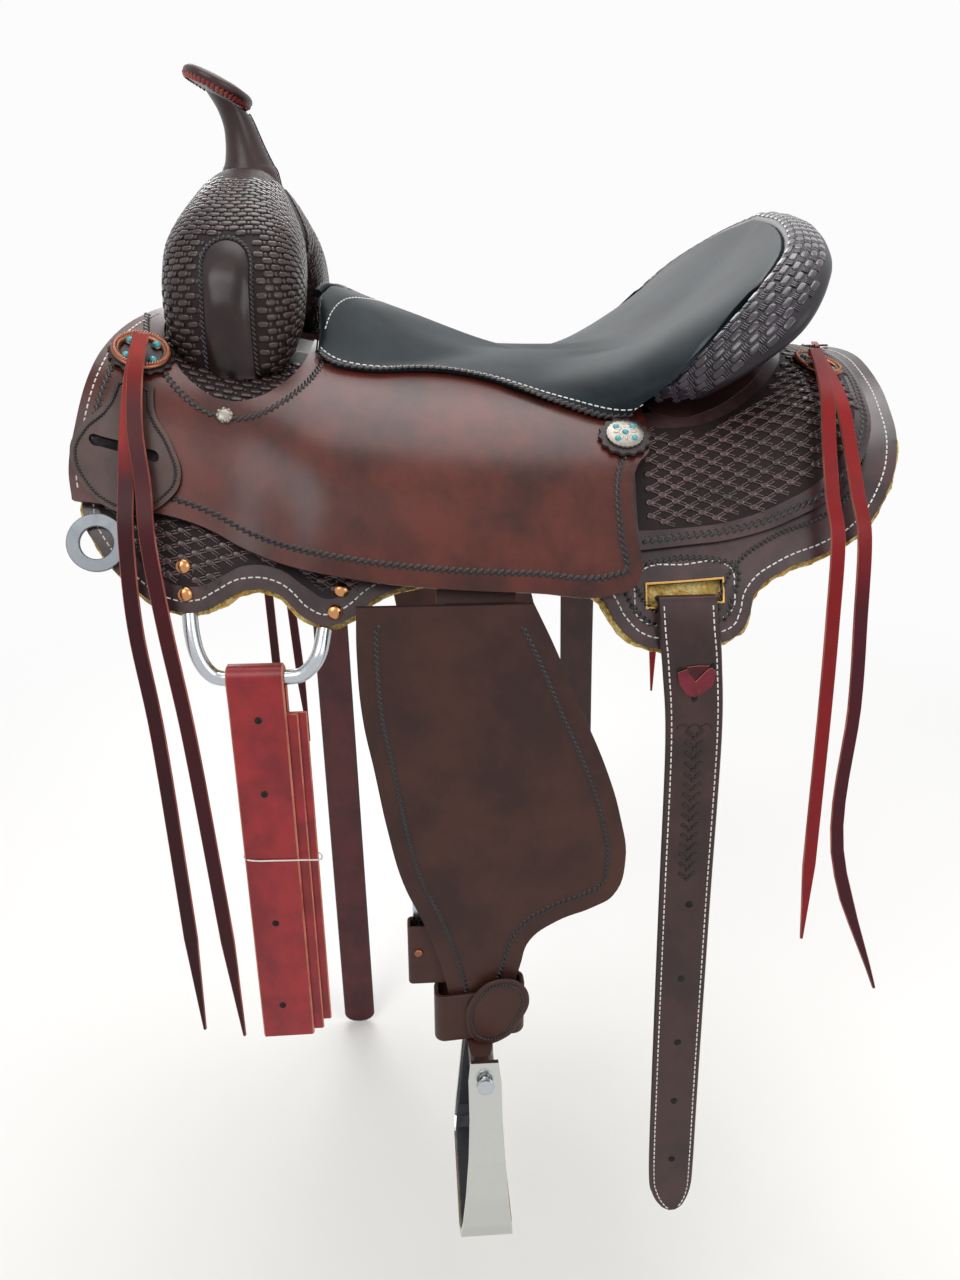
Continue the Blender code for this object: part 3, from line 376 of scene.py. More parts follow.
def jockey_out(x, s):
    return jockey_in(x, s) + JOCKEY


def rear_jockey_in(x, s):
    over_bar = (1 - min(max((x - 0.180) / 0.060, 0), 1)) * (1 - ramp(s, 0.160, 0.235))
    return SKIRT_OUT + LAYER_GAP + (BAR_TOP + 0.0006 - SKIRT_OUT) * over_bar


def rear_jockey_out(x, s):
    return rear_jockey_in(x, s) + REAR_JOCKEY


def layer_height(x, y, lift):
    """Height of a layer above (x, y)."""
    stations = [0.02 * k for k in range(20)]
    rows = [wrap(x, s, lift(x, s)) for s in stations]
    return float(np.interp(abs(y), [p.y for p in rows], [p.z for p in rows]))


# Outlines


def outline(loop, steps=6):
    """A closed outline of smooth and "corner" points as a dense list of 2D points."""
    curve = bpy.data.curves.new("outline", "CURVE")
    spline = curve.splines.new("BEZIER")
    spline.bezier_points.add(len(loop) - 1)
    for knot, point in zip(spline.bezier_points, loop):
        knot.co = (point[0], point[1], 0)
        kind = "VECTOR" if len(point) > 2 else "AUTO"
        knot.handle_left_type = knot.handle_right_type = kind
    spline.use_cyclic_u = True
    holder = bpy.data.objects.new("outline", curve)
    bpy.context.scene.collection.objects.link(holder)
    bpy.context.view_layer.update()
    knots = list(spline.bezier_points)
    points = []
    for a, b in zip(knots, knots[1:] + knots[:1]):
        points += interpolate_bezier(a.co, a.handle_right, b.handle_left, b.co, steps + 1)[:-1]
    points = [Vector((p.x, p.y)) for p in points]
    bpy.data.objects.remove(holder)
    return points


def inset(points, distance):
    """The outline moved inward, without the points that its own corners crowd out."""
    area = sum(a.cross(b) for a, b in zip(points, points[1:] + points[:1]))
    turn = 1 if area > 0 else -1
    count = len(points)
    moved = []
    for i, point in enumerate(points):
        along = (points[(i + 1) % count] - points[i - 1]).normalized()
        shifted = point + Vector((-along.y, along.x)) * turn * distance
        if min((shifted - other).length for other in points) > distance * 0.97:
            moved.append(shifted)
    return moved


def rectangle(x0, x1, s0, s1):
    return [(x, s, "corner") for x, s in ((x0, s0), (x1, s0), (x1, s1), (x0, s1))]


def smooth_flat(points, count):
    return [p.to_2d() for p in smooth_path([(x, y, 0) for x, y in points], count)]


def part_of(points, start, end):
    """The run of a closed path from the point nearest start to the one nearest end."""
    first = min(range(len(points)), key=lambda i: (points[i] - Vector(start)).length)
    last = min(range(len(points)), key=lambda i: (points[i] - Vector(end)).length)
    return points[first : last + 1] if last >= first else points[first:] + points[: last + 1]


def smooth_path(points, count):
    """Evenly numbered points along a smooth curve through the given ones."""
    knots = [Vector(p) for p in points]
    knots = [2 * knots[0] - knots[1]] + knots + [2 * knots[-1] - knots[-2]]
    spans = len(knots) - 3
    walk = []
    for i in range(count):
        place = i * spans / (count - 1)
        k = min(int(place), spans - 1)
        t = place - k
        a, b, c, d = knots[k : k + 4]
        walk.append(
            0.5 * (2 * b + (c - a) * t + (2 * a - 5 * b + 4 * c - d) * t**2 + (3 * b - a - 3 * c + d) * t**3)
        )
    return walk


def distances(points):
    """How far along a path each of its points is."""
    return np.concatenate([[0], np.cumsum([(b - a).length for a, b in zip(points, points[1:])])])


# Building


def round_edges(obj, width, angle):
    rounding = obj.modifiers.new("rounded edge", "BEVEL")
    rounding.width = width
    rounding.segments = 2
    rounding.limit_method = "ANGLE"
    rounding.angle_limit = math.radians(angle)


def make(name, bm, mats, node=None, body=None, sharp=40, bevel=0.0):
    """A shown piece that stands for a CAD node, or that rides with a body, by default the tree."""
    bmesh.ops.recalc_face_normals(bm, faces=bm.faces)
    name = name.replace(" ", "_")
    mesh = bpy.data.meshes.new(name)
    bm.to_mesh(mesh)
    bm.free()
    for mat in [mats] if isinstance(mats, str) else mats:
        mesh.materials.append(M[mat])
    mesh.shade_smooth()
    mesh.set_sharp_from_angle(angle=math.radians(sharp))
    obj = bpy.data.objects.new(name, mesh)
    bpy.context.scene.collection.objects.link(obj)
    if bevel:
        round_edges(obj, bevel, 50)
    if node:
        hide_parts(node)
    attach(obj, body or body_of_node(node))
    return obj


def body_of_node(node):
    for name, members in frame["record"]["behaviour"]["bodies"].items():
        if node in members:
            return name
    return "tree"


def cut_layer(bm):
    return bm.verts.layers.float_vector.get("cut") or bm.verts.layers.float_vector.new("cut")


def cut_out(loops, thickness, step):
    """A flat piece with holes as a bmesh, divided finely enough to be bent."""
    curve = bpy.data.curves.new("flat", "CURVE")
    curve.dimensions = "2D"
    curve.fill_mode = "BOTH"
    curve.extrude = thickness / 2
    for points in loops:
        spline = curve.splines.new("POLY")
        spline.points.add(len(points) - 1)
        for knot, point in zip(spline.points, points):
            knot.co = (point[0], point[1], 0, 1)
        spline.use_cyclic_u = True
    holder = bpy.data.objects.new("flat", curve)
    bpy.context.scene.collection.objects.link(holder)
    bpy.context.view_layer.update()
    mesh = bpy.data.meshes.new_from_object(holder.evaluated_get(bpy.context.evaluated_depsgraph_get()))
    bm = bmesh.new()
    bm.from_mesh(mesh)
    bpy.data.objects.remove(holder)
    bpy.data.meshes.remove(mesh)
    bmesh.ops.remove_doubles(bm, verts=bm.verts, dist=1e-5)
    bmesh.ops.dissolve_limit(bm, angle_limit=math.radians(0.5), verts=bm.verts, edges=bm.edges)
    for direction in (Vector((1, 0, 0)), Vector((0, 1, 0))):
        values = [v.co.dot(direction) for v in bm.verts]
        low, high = min(values), max(values)
        count = int((high - low) / step)
        for k in range(1, count + 1):
            place = direction * (low + (high - low) * k / (count + 1))
            everything = bm.verts[:] + bm.edges[:] + bm.faces[:]
            bmesh.ops.bisect_plane(bm, geom=everything, dist=1e-6, plane_co=place, plane_no=direction)
    return bm


def leather(name, loops, place, thickness, mats, node=None, body=None, step=0.012, bevel=0.0011):
    """Leather cut to outlines and put in place, with its cut edge in the second material."""
    bm = cut_out(loops, thickness, step)
    bm.faces.ensure_lookup_table()
    for face in bm.faces:
        face.normal_update()
        if abs(face.normal.z) < 0.5 and len(mats) > 1:
            face.material_index = 1
    layer = cut_layer(bm)
    for vert in bm.verts:
        x, s, height = vert.co
        vert[layer] = (x, s, 0)
        vert.co = place(x, s, thickness if height > 0 else 0)
    return make(name, bm, mats, node, body, bevel=bevel)


def bridge(bm, a, b):
    """Faces between two closed rings of vertices."""
    for j in range(len(a)):
        k = (j + 1) % len(a)
        bm.faces.new((a[j], a[k], b[k], b[j]))


def loft_mesh(rings, closed_rows=False):
    """A bmesh through closed rings of points, with pattern coordinates along and around."""
    bm = bmesh.new()
    layer = cut_layer(bm)
    made = []
    along = 0.0
    for i, ring in enumerate(rings):
        if i:
            along += (sum(ring, Vector()) / len(ring) - sum(rings[i - 1], Vector()) / len(ring)).length
        around = 0.0
        row = []
        for j, point in enumerate(ring):
            around += (point - ring[j - 1]).length if j else 0
            vert = bm.verts.new(point)
            vert[layer] = (along, around, 0)
            row.append(vert)
        made.append(row)
    for a, b in zip(made, made[1:] + (made[:1] if closed_rows else [])):
        bridge(bm, a, b)
    if not closed_rows:
        bm.faces.new(made[0])
        bm.faces.new(made[-1])
    return bm


def sheet_mesh(outer, inner):
    """A bmesh between two grids of points, with pattern coordinates from the outer one."""
    bm = bmesh.new()
    layer = cut_layer(bm)
    rows, columns = len(outer), len(outer[0])
    top = [[bm.verts.new(p) for p in row] for row in outer]
    low = [[bm.verts.new(p) for p in row] for row in inner]
    for j in range(columns):
        reach = 0.0
        for i in range(rows):
            reach += (outer[i][j] - outer[i - 1][j]).length if i else 0
            across = sum((outer[i][k + 1] - outer[i][k]).length for k in range(j))
            top[i][j][layer] = low[i][j][layer] = (across, reach, 0)
    for i in range(rows - 1):
        for j in range(columns - 1):
            bm.faces.new((top[i][j], top[i + 1][j], top[i + 1][j + 1], top[i][j + 1]))
            bm.faces.new((low[i][j], low[i][j + 1], low[i + 1][j + 1], low[i + 1][j]))
    for i in (0, rows - 1):
        for j in range(columns - 1):
            bm.faces.new((top[i][j], top[i][j + 1], low[i][j + 1], low[i][j]))
    for i in range(rows - 1):
        for j in (0, columns - 1):
            bm.faces.new((top[i][j], low[i][j], low[i + 1][j], top[i + 1][j]))
    return bm


def ribbon_mesh(path, widths, thickness):
    """A strap with rounded edges along a path, its width along x."""
    across = Vector((1, 0, 0))
    rings = []
    for i, (point, wide) in enumerate(zip(path, widths)):
        tangent = (path[min(i + 1, len(path) - 1)] - path[max(i - 1, 0)]).normalized()
        side = (across - tangent * across.dot(tangent)).normalized()
        face = tangent.cross(side)
        half, thick = wide / 2, thickness / 2
        rim = half - thick * 0.6
        section = (
            (-half, 0), (-rim, -thick), (-rim * 0.4, -thick), (rim * 0.4, -thick), (rim, -thick), (half, 0),
            (rim, thick), (rim * 0.4, thick), (-rim * 0.4, thick), (-rim, thick),
        )
        rings.append([point + side * a + face * b for a, b in section])
    bm = loft_mesh(rings)
    for index, face in enumerate(bm.faces):
        face.material_index = 1 if index % 10 in (0, 4, 5, 9) or len(face.verts) > 4 else 0
    return bm


def strap(name, path, width, thickness, mats, node=None, body=None):
    widths = width if isinstance(width, list) else [width] * len(path)
    return make(name, ribbon_mesh(path, widths, thickness), mats, node, body, sharp=55)


def tube(name, points, radius, mat, node=None, body=None, closed=False, sides=12):
    """A round bar or cord along 3D points."""
    rings = []
    count = len(points)
    normal = None
    for i, point in enumerate(points):
        ahead = points[(i + 1) % count] if closed else points[min(i + 1, count - 1)]
        behind = points[i - 1] if closed else points[max(i - 1, 0)]
        tangent = (ahead - behind).normalized()
        if normal is None:
            normal = tangent.orthogonal().normalized()
        normal = (normal - tangent * normal.dot(tangent)).normalized()
        other = tangent.cross(normal)
        rings.append([point + radius * (normal * math.cos(a) + other * math.sin(a)) for a in full_turn(sides)])
    return make(name, loft_mesh(rings, closed_rows=closed), mat, node, body, sharp=60)


CORNERS = ((-1, -1), (1, -1), (1, 1), (-1, 1))


def rows_of(name, runs, mat, body="tree", length=0.0034, gap=0.0016, width=0.0010, height=0.0005, skew=0.0):
    """Stitches or tooled beads set along runs of (points, normals)."""
    bm = bmesh.new()
    layer = cut_layer(bm)
    for points, normals in runs:
        spacing = length + gap
        travelled, target = 0.0, spacing / 2
        for (a, b), n in zip(zip(points, points[1:]), normals):
            span = (b - a).length
            while span > 0 and travelled + span >= target:
                centre = a.lerp(b, (target - travelled) / span)
                along = Matrix.Rotation(skew, 3, n) @ (b - a).normalized()
                aside = n.cross(along).normalized() * width / 2
                half = along * length / 2
                crown = centre + n * height
                low = [bm.verts.new(centre + half * p + aside * q) for p, q in CORNERS]
                top = [bm.verts.new(crown + half * p * 0.7 + aside * q * 0.55) for p, q in CORNERS]
                for vert in low + top:
                    vert[layer] = vert.co
                bm.faces.new(top)
                bm.faces.new(low[::-1])
                bridge(bm, low, top)
                target += spacing
            travelled += span
    return make(name, bm, mat, body=body, sharp=80)


def run_on(place, flat, thickness, closed=False):
    """A run of 3D points and normals along a flat path on the outside of a placed piece."""
    flat = list(flat) + ([flat[0]] if closed else [])
    fine = []
    for a, b in zip(flat, flat[1:]):
        steps = max(1, int((b - a).length / 0.004))
        fine += [a.lerp(b, k / steps) for k in range(steps)]
    fine.append(flat[-1])
    points = [place(p.x, p.y, thickness) for p in fine]
    normals = [(place(p.x, p.y, thickness + 0.001) - q).normalized() for p, q in zip(fine, points)]
    return points, normals


def stitch(name, runs, body="tree"):
    return rows_of(name, runs, "thread", body)


def rope_line(name, runs, body="tree", size=1.0):
    """A tooled rope border: slanting raised strands that overlap along a line."""
    strand = {"length": 0.0062 * size, "gap": -0.0016 * size, "width": 0.0026 * size}
    return rows_of(name, runs, "rope", body, height=0.0011, skew=0.55, **strand)


def raised(length, width, height, at=(0.0, 0.0), turn=0.0):
    """Rings of one raised pad of a stamp, in the stamp's own frame."""
    cut = 0.3 * min(length, width)
    long, wide = length / 2, width / 2
    corners = ((long, wide - cut), (long - cut, wide), (cut - long, wide), (-long, wide - cut))
    corners += tuple((-x, -y) for x, y in corners)
    cosine, sine = math.cos(turn), math.sin(turn)
    turned = [(x * cosine - y * sine, x * sine + y * cosine) for x, y in corners]
    slopes = ((1.0, -0.0002), (0.97, height * 0.55), (0.82, height * 0.9), (0.45, height))
    return [[(at[0] + share * x, at[1] + share * y, z) for x, y in turned] for share, z in slopes]


def stamps(name, frames, shapes, mat, body="tree"):
    """The same raised shapes at every frame, which is a (point, along, across, out)."""
    local, faces = [], []
    for rings in shapes:
        first, count = len(local), len(rings[0])
        for ring in rings:
            local += ring
        for r in range(len(rings) - 1):
            for k in range(count):
                a, b = first + r * count + k, first + r * count + (k + 1) % count
                faces.append((a, b, b + count, a + count))
        faces.append(tuple(first + (len(rings) - 1) * count + k for k in range(count)))
        faces.append(tuple(first + k for k in reversed(range(count))))
    local = np.array(local)
    points, joined = [], []
    for number, (point, along, across, out) in enumerate(frames):
        points.append(np.array(point) + local @ np.array([along, across, out]))
        joined += [tuple(i + number * len(local) for i in face) for face in faces]
    mesh = bpy.data.meshes.new(name)
    mesh.from_pydata(np.concatenate(points).tolist(), [], joined)
    bm = bmesh.new()
    bm.from_mesh(mesh)
    bpy.data.meshes.remove(mesh)
    layer = cut_layer(bm)
    for vert in bm.verts:
        vert[layer] = vert.co
    return make(name, bm, mat, body=body, sharp=80)


def inside(point, loop):
    found = False
    for a, b in zip(loop, loop[1:] + loop[:1]):
        if (a.y > point.y) != (b.y > point.y) and point.x < (b.x - a.x) * (point.y - a.y) / (b.y - a.y) + a.x:
            found = not found
    return found


def staggered(low, high, pitch):
    """Spots of a brick lattice between two corners."""
    spots = []
    for j in range(int((high[1] - low[1]) / pitch[1] * 2) + 1):
        for i in range(j % 2, int((high[0] - low[0]) / pitch[0] * 2) + 1, 2):
            spots.append(Vector((low[0] + i * pitch[0] / 2, low[1] + j * pitch[1] / 2)))
    return spots


def stamp_frame(place, x, s, h):
    base, out = spot(place, x, s, h)
    along = place(x + 0.002, s, h) - base
    along = (along - out * along.dot(out)).normalized()
    return base, along, out.cross(along), out


# A woven stamp: one broad pad, and two bars that lean away from it on each side
WEAVE = [raised(0.0066, 0.0044, 0.0012)] + [
    raised(0.0062, 0.0012, 0.0009, (0.00475 - 0.000462 * k * flip, flip * 0.0022 + 0.00099 * k), flip * 0.434)
    for flip in (1, -1)
    for k in (-0.85, 0.85)
]
WEAVE_PITCH = (0.0190, 0.0088)


def stamped_field(name, place, thickness, region):
    """Basket stamping: a sunk ground with a staggered weave of raised pads and paired bars."""
    leather(f"{name} ground", [region], lifted(place, thickness + 0.0001), 0.0003, ["ground"], bevel=0.0)
    low = (min(p.x for p in region), min(p.y for p in region))
    high = (max(p.x for p in region), max(p.y for p in region))
    inner = inset(region, 0.0030)
    spots = [p for p in staggered(low, high, WEAVE_PITCH) if inside(p, inner)]
    stamps(f"{name} weave", [stamp_frame(place, p.x, p.y, thickness + 0.0004) for p in spots], WEAVE, "pads")


DOME = ((1.0, -0.25), (1.0, 0.25), (0.86, 0.62), (0.55, 0.9), (0.2, 1.0))


def domes(name, spots, radius, height, mat, body="tree"):
    """Rivets, stones or studs at (point, normal) spots as one piece."""
    bm = bmesh.new()
    layer = cut_layer(bm)
    for centre, normal in spots:
        side = normal.orthogonal().normalized() * radius
        other = normal.cross(side)
        made = []
        for share, rise in DOME:
            base = centre + normal * height * rise
            ring = [base + share * (side * math.cos(a) + other * math.sin(a)) for a in full_turn(16)]
            made.append([bm.verts.new(p) for p in ring])
            for vert in made[-1]:
                vert[layer] = vert.co
        for a, b in zip(made, made[1:]):
            bridge(bm, a, b)
        bm.faces.new(made[0])
        bm.faces.new(made[-1])
    return make(name, bm, mat, body=body, sharp=50)


def spot(place, x, s, h):
    """A point on a placed piece and the direction straight out of it."""
    base = place(x, s, h)
    normal = (place(x + 0.006, s, h) - place(x - 0.006, s, h)).cross(place(x, s + 0.006, h) - place(x, s - 0.006, h))
    outward = place(x, s, h + 0.001) - base
    return base, (normal if normal.dot(outward) > 0 else -normal).normalized()


# Outlines of the leather: in (x, s) where it lies on the back, in (x, z) where it hangs upright

SKIRT_EDGE = [
    (-0.292, 0.030, "corner"), (-0.318, 0.100), (-0.335, 0.170), (-0.345, 0.230), (-0.345, 0.268),
    (-0.337, 0.283), (-0.319, 0.301), (-0.292, 0.314), (-0.268, 0.311), (-0.254, 0.302), (-0.238, 0.292),
    (-0.217, 0.291), (-0.199, 0.304), (-0.184, 0.308), (-0.168, 0.302), (-0.145, 0.284), (-0.100, 0.270),
    (-0.040, 0.268), (-0.005, 0.272), (0.012, 0.280), (0.025, 0.300), (0.040, 0.313), (0.062, 0.318),
    (0.098, 0.317), (0.114, 0.311), (0.121, 0.299), (0.125, 0.286), (0.147, 0.273), (0.180, 0.265),
    (0.205, 0.255), (0.229, 0.230), (0.243, 0.200), (0.250, 0.156), (0.255, 0.110), (0.260, 0.060),
    (0.260, 0.006, "corner"), (0.195, 0.006, "corner"), (0.180, 0.020), (0.000, 0.022), (-0.200, 0.026),
]
REAR_SLOT = rectangle(0.046, 0.101, 0.274, 0.2885)
SLOT_LINING = rectangle(0.0445, 0.1025, 0.2725, 0.2900)
SLOT_STITCHES = [
    (0.040, 0.266), (0.0735, 0.262), (0.107, 0.266), (0.110, 0.281), (0.107, 0.296), (0.0735, 0.300), (0.040, 0.296),
    (0.037, 0.281),
]
OVER_SLOT = [(0.110, 0.284), (0.113, 0.270), (0.104, 0.2625), (0.0735, 0.2575), (0.043, 0.2610), (0.034, 0.268)]
RIGGING_RIVETS = ((-0.280, 0.284), (-0.279, 0.302), (-0.172, 0.283), (-0.177, 0.298))
FRONT_FIELD = [
    (-0.338, 0.252, "corner"), (-0.333, 0.264), (-0.313, 0.283), (-0.291, 0.296), (-0.270, 0.295), (-0.252, 0.284),
    (-0.238, 0.276), (-0.215, 0.275), (-0.197, 0.284), (-0.183, 0.290), (-0.171, 0.286), (-0.150, 0.268, "corner"),
    (-0.150, 0.252, "corner"),
]
JOCKEY_EDGE = [
    (-0.306, 0.083, "corner"), (-0.315, 0.107), (-0.328, 0.141), (-0.338, 0.175), (-0.347, 0.213),
    (-0.352, 0.241), (-0.350, 0.259, "corner"), (-0.315, 0.256), (-0.290, 0.255), (-0.263, 0.258),
    (-0.236, 0.267), (-0.205, 0.274), (-0.168, 0.277), (-0.110, 0.2785), (-0.040, 0.279), (0.022, 0.280),
    (0.036, 0.273), (0.0345, 0.243), (0.0345, 0.221), (0.040, 0.206), (0.050, 0.196), (0.052, 0.165, "corner"),
    (0.045, 0.140, "corner"), (-0.008, 0.128), (-0.061, 0.096), (-0.116, 0.090), (-0.165, 0.092),
    (-0.196, 0.080, "corner"),
]
FORK_X = -0.250
CUTOUT = arc(FORK_X, 0.100, 0.0535, 0.080, half_turn(8))
REAR_JOCKEY_EDGE = [
    (0.060, 0.012, "corner"), (0.241, 0.012, "corner"), (0.242, 0.060), (0.239, 0.105), (0.232, 0.150),
    (0.221, 0.192), (0.194, 0.224), (0.155, 0.240), (0.115, 0.248), (0.070, 0.250), (0.030, 0.252, "corner"),
    (0.030, 0.165, "corner"), (0.060, 0.158), (0.080, 0.148), (0.075, 0.120), (0.065, 0.060),
]
REAR_FIELD = [
    (0.192, 0.022, "corner"), (0.190, 0.060), (0.178, 0.102), (0.160, 0.131), (0.134, 0.156), (0.104, 0.171),
    (0.072, 0.174), (0.042, 0.170, "corner"), (0.042, 0.238, "corner"), (0.070, 0.238), (0.112, 0.236),
    (0.148, 0.228), (0.184, 0.213), (0.208, 0.186), (0.220, 0.148), (0.227, 0.105), (0.230, 0.060),
    (0.229, 0.022, "corner"),
]
SMOOTH_BAND = [
    (0.058, 0.152), (0.075, 0.166), (0.100, 0.163), (0.128, 0.148), (0.152, 0.126), (0.170, 0.098), (0.182, 0.060),
    (0.186, 0.014, "corner"), (0.140, 0.014, "corner"), (0.130, 0.060), (0.105, 0.120), (0.080, 0.140),
]
FENDER_EDGE = [
    (-0.110, -0.1065), (-0.161, -0.1065, "corner"), (-0.162, -0.140), (-0.160, -0.188), (-0.153, -0.232),
    (-0.145, -0.282), (-0.135, -0.327), (-0.118, -0.370), (-0.106, -0.410), (-0.098, -0.452, "corner"),
    (-0.054, -0.452, "corner"), (-0.044, -0.408), (-0.037, -0.385), (-0.016, -0.368), (0.013, -0.356),
    (0.028, -0.346), (0.036, -0.315), (0.030, -0.276), (0.017, -0.234), (-0.003, -0.187), (-0.024, -0.137),
    (-0.0385, -0.1065, "corner"),
]
KEEPER_EDGE = [
    (-0.322, 0.183, "corner"), (-0.328, 0.200), (-0.343, 0.216), (-0.350, 0.232), (-0.343, 0.248),
    (-0.326, 0.259), (-0.306, 0.259), (-0.288, 0.248), (-0.278, 0.232), (-0.284, 0.214), (-0.295, 0.199),
    (-0.297, 0.183, "corner"),
]
KEEPER_SLOT = [
    (-0.3360, 0.2192), (-0.3300, 0.2190), (-0.3000, 0.2200), (-0.2940, 0.2205), (-0.2922, 0.2235), (-0.2940, 0.2262),
    (-0.3000, 0.2258), (-0.3300, 0.2248), (-0.3360, 0.2246), (-0.3376, 0.2220),
]
SLOT_SHADE = [
    (-0.3395, 0.2185, "corner"), (-0.2895, 0.2185, "corner"), (-0.2925, 0.2285, "corner"), (-0.3365, 0.2285, "corner"),
]
HOBBLE_BUTTON = [
    (-0.080, -0.428), (-0.062, -0.416), (-0.045, -0.420), (-0.037, -0.436), (-0.043, -0.456), (-0.056, -0.474),
    (-0.076, -0.478), (-0.088, -0.456),
]


def build_skirts(tag, side):
    """The skirt with its stitching, tooling and rear slot, and what lies below and on it."""
    place = on_back(SKIRT_IN, side)
    edge = outline(SKIRT_EDGE)
    slot = outline(REAR_SLOT, 1)
    leather(f"skirt leather {tag}", [edge, slot], place, SKIRT, ["skirt", "edge"], f"skirt_{tag}")
    stitch(f"skirt stitching {tag}", [run_on(place, inset(edge, 0.0075), SKIRT, closed=True)])
    bead = part_of(inset(edge, 0.024), (-0.31, 0.10), (0.236, 0.09))
    rope_line(f"skirt border line {tag}", [run_on(place, bead, SKIRT)], size=0.8)
    stitch(f"slot stitching {tag}", [run_on(place, outline(SLOT_STITCHES, 4), SKIRT, closed=True)])
    lobe = part_of(inset(edge, 0.0155), (0.020, 0.270), (0.109, 0.286))
    rope_line(f"slot rope line {tag}", [run_on(place, line, SKIRT) for line in (lobe, smooth_flat(OVER_SLOT, 24))])
    lining = [outline(SLOT_LINING, 1), slot]
    leather(f"slot lining {tag}", lining, lifted(place, SKIRT + 0.0002), 0.0009, ["brass"], bevel=0.0003)
    build_fleece(tag, side, edge)
    build_rear_jockey(tag, side)
    stamped_field(f"skirt stamping {tag}", place, SKIRT, outline(FRONT_FIELD))
    build_smooth_band(tag, side)
    rivets = [spot(place, x, s, SKIRT) for x, s in RIGGING_RIVETS]
    domes(f"rigging rivets {tag}", rivets, 0.0055, 0.0032, "gold_copper")


def build_rear_jockey(tag, side):
    """The stamped leather behind the seat, on the bar and the skirt."""
    place = on_back(rear_jockey_in, side)
    edge = outline(REAR_JOCKEY_EDGE)
    leather(f"rear jockey {tag}", [edge], place, REAR_JOCKEY, ["skirt", "edge"], f"rear_jockey_{tag}")
    border = part_of(inset(edge, 0.0060), (0.222, 0.030), (0.040, 0.246))
    rope_line(f"rear jockey rope line {tag}", [run_on(place, border, REAR_JOCKEY)], size=1.2)
    stamped_field(f"rear jockey stamping {tag}", place, REAR_JOCKEY, outline(REAR_FIELD))


def build_smooth_band(tag, side):
    """The plain band between the seat and the rear jockey's stamping."""
    place = lifted(on_back(rear_jockey_in, side), REAR_JOCKEY)
    band = outline(SMOOTH_BAND)
    leather(f"smooth band {tag}", [band], place, 0.0005, ["smooth"], bevel=0.0002)
    line = part_of(inset(band, 0.0015), (0.184, 0.020), (0.060, 0.150))
    rope_line(f"smooth band rope line {tag}", [run_on(place, line, 0.0005)], size=1.2)


def build_fleece(tag, side, edge):
    """Sheepskin under the skirt, its wool standing out a little past the leather."""
    tufts, curls = 140, 260  # to a metre
    wide = []
    count = len(edge)
    for i, point in enumerate(edge):
        along = (edge[(i + 1) % count] - edge[i - 1]).normalized()
        out = Vector((along.y, -along.x))
        reach = 0.0028 + 0.0016 * noise.noise(Vector((point.x * tufts, point.y * tufts, side)))
        wide.append(point - out * reach if point.y > 0.05 else point)
    bm = cut_out([wide], FLEECE, 0.009)
    layer = cut_layer(bm)
    for vert in bm.verts:
        x, s, height = vert.co
        vert[layer] = (x, s, 0)
        curl = noise.noise(Vector((x * curls, s * curls, height * 300)))
        lift = 0.0098 if height > 0 else 0.0005 + 0.0010 * curl
        vert.co = wrap(x + 0.0006 * curl, s + 0.0008 * curl, lift, side)
    make(f"sheepskin {tag}", bm, "fleece", f"fleece_{tag}", sharp=80)


def build_jockeys(tag, side):
    """The long side jockey, cut out round the swell, with its tooled lines and silver button."""
    place = on_back(jockey_in, side)
    edge = outline(JOCKEY_EDGE + CUTOUT)
    leather(f"seat jockey {tag}", [edge], place, JOCKEY, ["jockey", "edge"], f"jockey_{tag}", step=0.010)
    lower = part_of(inset(edge, 0.0110), (-0.330, 0.150), (0.040, 0.200))
    rope_line(f"jockey rope line {tag}", [run_on(place, lower, JOCKEY)], size=1.05)
    around = [Vector(p) for p in arc(FORK_X, 0.100, 0.0660, 0.0915, half_turn(24)[1:-1])]
    rope_line(f"swell rope line {tag}", [run_on(place, around, JOCKEY)], size=1.05)
    front = part_of(inset(edge, 0.0050), (-0.306, 0.090), (-0.348, 0.255))
    stitch(f"jockey stitching {tag}", [run_on(place, front, JOCKEY)])
    button, normal = spot(place, -0.250, 0.1905, JOCKEY)
    domes(f"silver button {tag}", [(button, normal)], 0.0062, 0.0026, "silver")
    reach = normal.orthogonal().normalized() * 0.0048
    petals = [button + Matrix.Rotation(a, 3, normal) @ reach + normal * 0.0012 for a in full_turn(8)]
    domes(f"silver petals {tag}", [(petal, normal) for petal in petals], 0.0014, 0.0016, "silver")


# The seat: its side edge on the jockey in (x, s), its middle in (x, z), its front edge and the cantle's two rims
SEAT_EDGE = [
    (-0.191, 0.113), (-0.186, 0.123), (-0.173, 0.131), (-0.146, 0.130), (-0.116, 0.121), (-0.089, 0.119),
    (-0.061, 0.127), (-0.035, 0.142), (-0.008, 0.158), (0.020, 0.171), (0.045, 0.172),
]
SEAT_CENTRE = [
    (-0.168, 0.096), (-0.117, 0.079), (-0.084, 0.067), (-0.052, 0.056), (-0.019, 0.048), (0.015, 0.045),
    (0.050, 0.047), (0.085, 0.056), (0.118, 0.076), (0.148, 0.105), (0.170, 0.133), (0.182, 0.155),
]
SEAT_FRONT = [
    (-0.168, 0.000, 0.096), (-0.173, 0.030, 0.099), (-0.184, 0.055, 0.100), (-0.190, 0.080, 0.088),
    (-0.191, 0.105, 0.058),
]
CANTLE_RIM = [
    (0.182, 0.000, 0.155), (0.174, 0.074, 0.147), (0.160, 0.138, 0.132), (0.143, 0.172, 0.114),
    (0.110, 0.190, 0.080), (0.080, 0.192, 0.050), (0.045, 0.173, 0.0225),
]
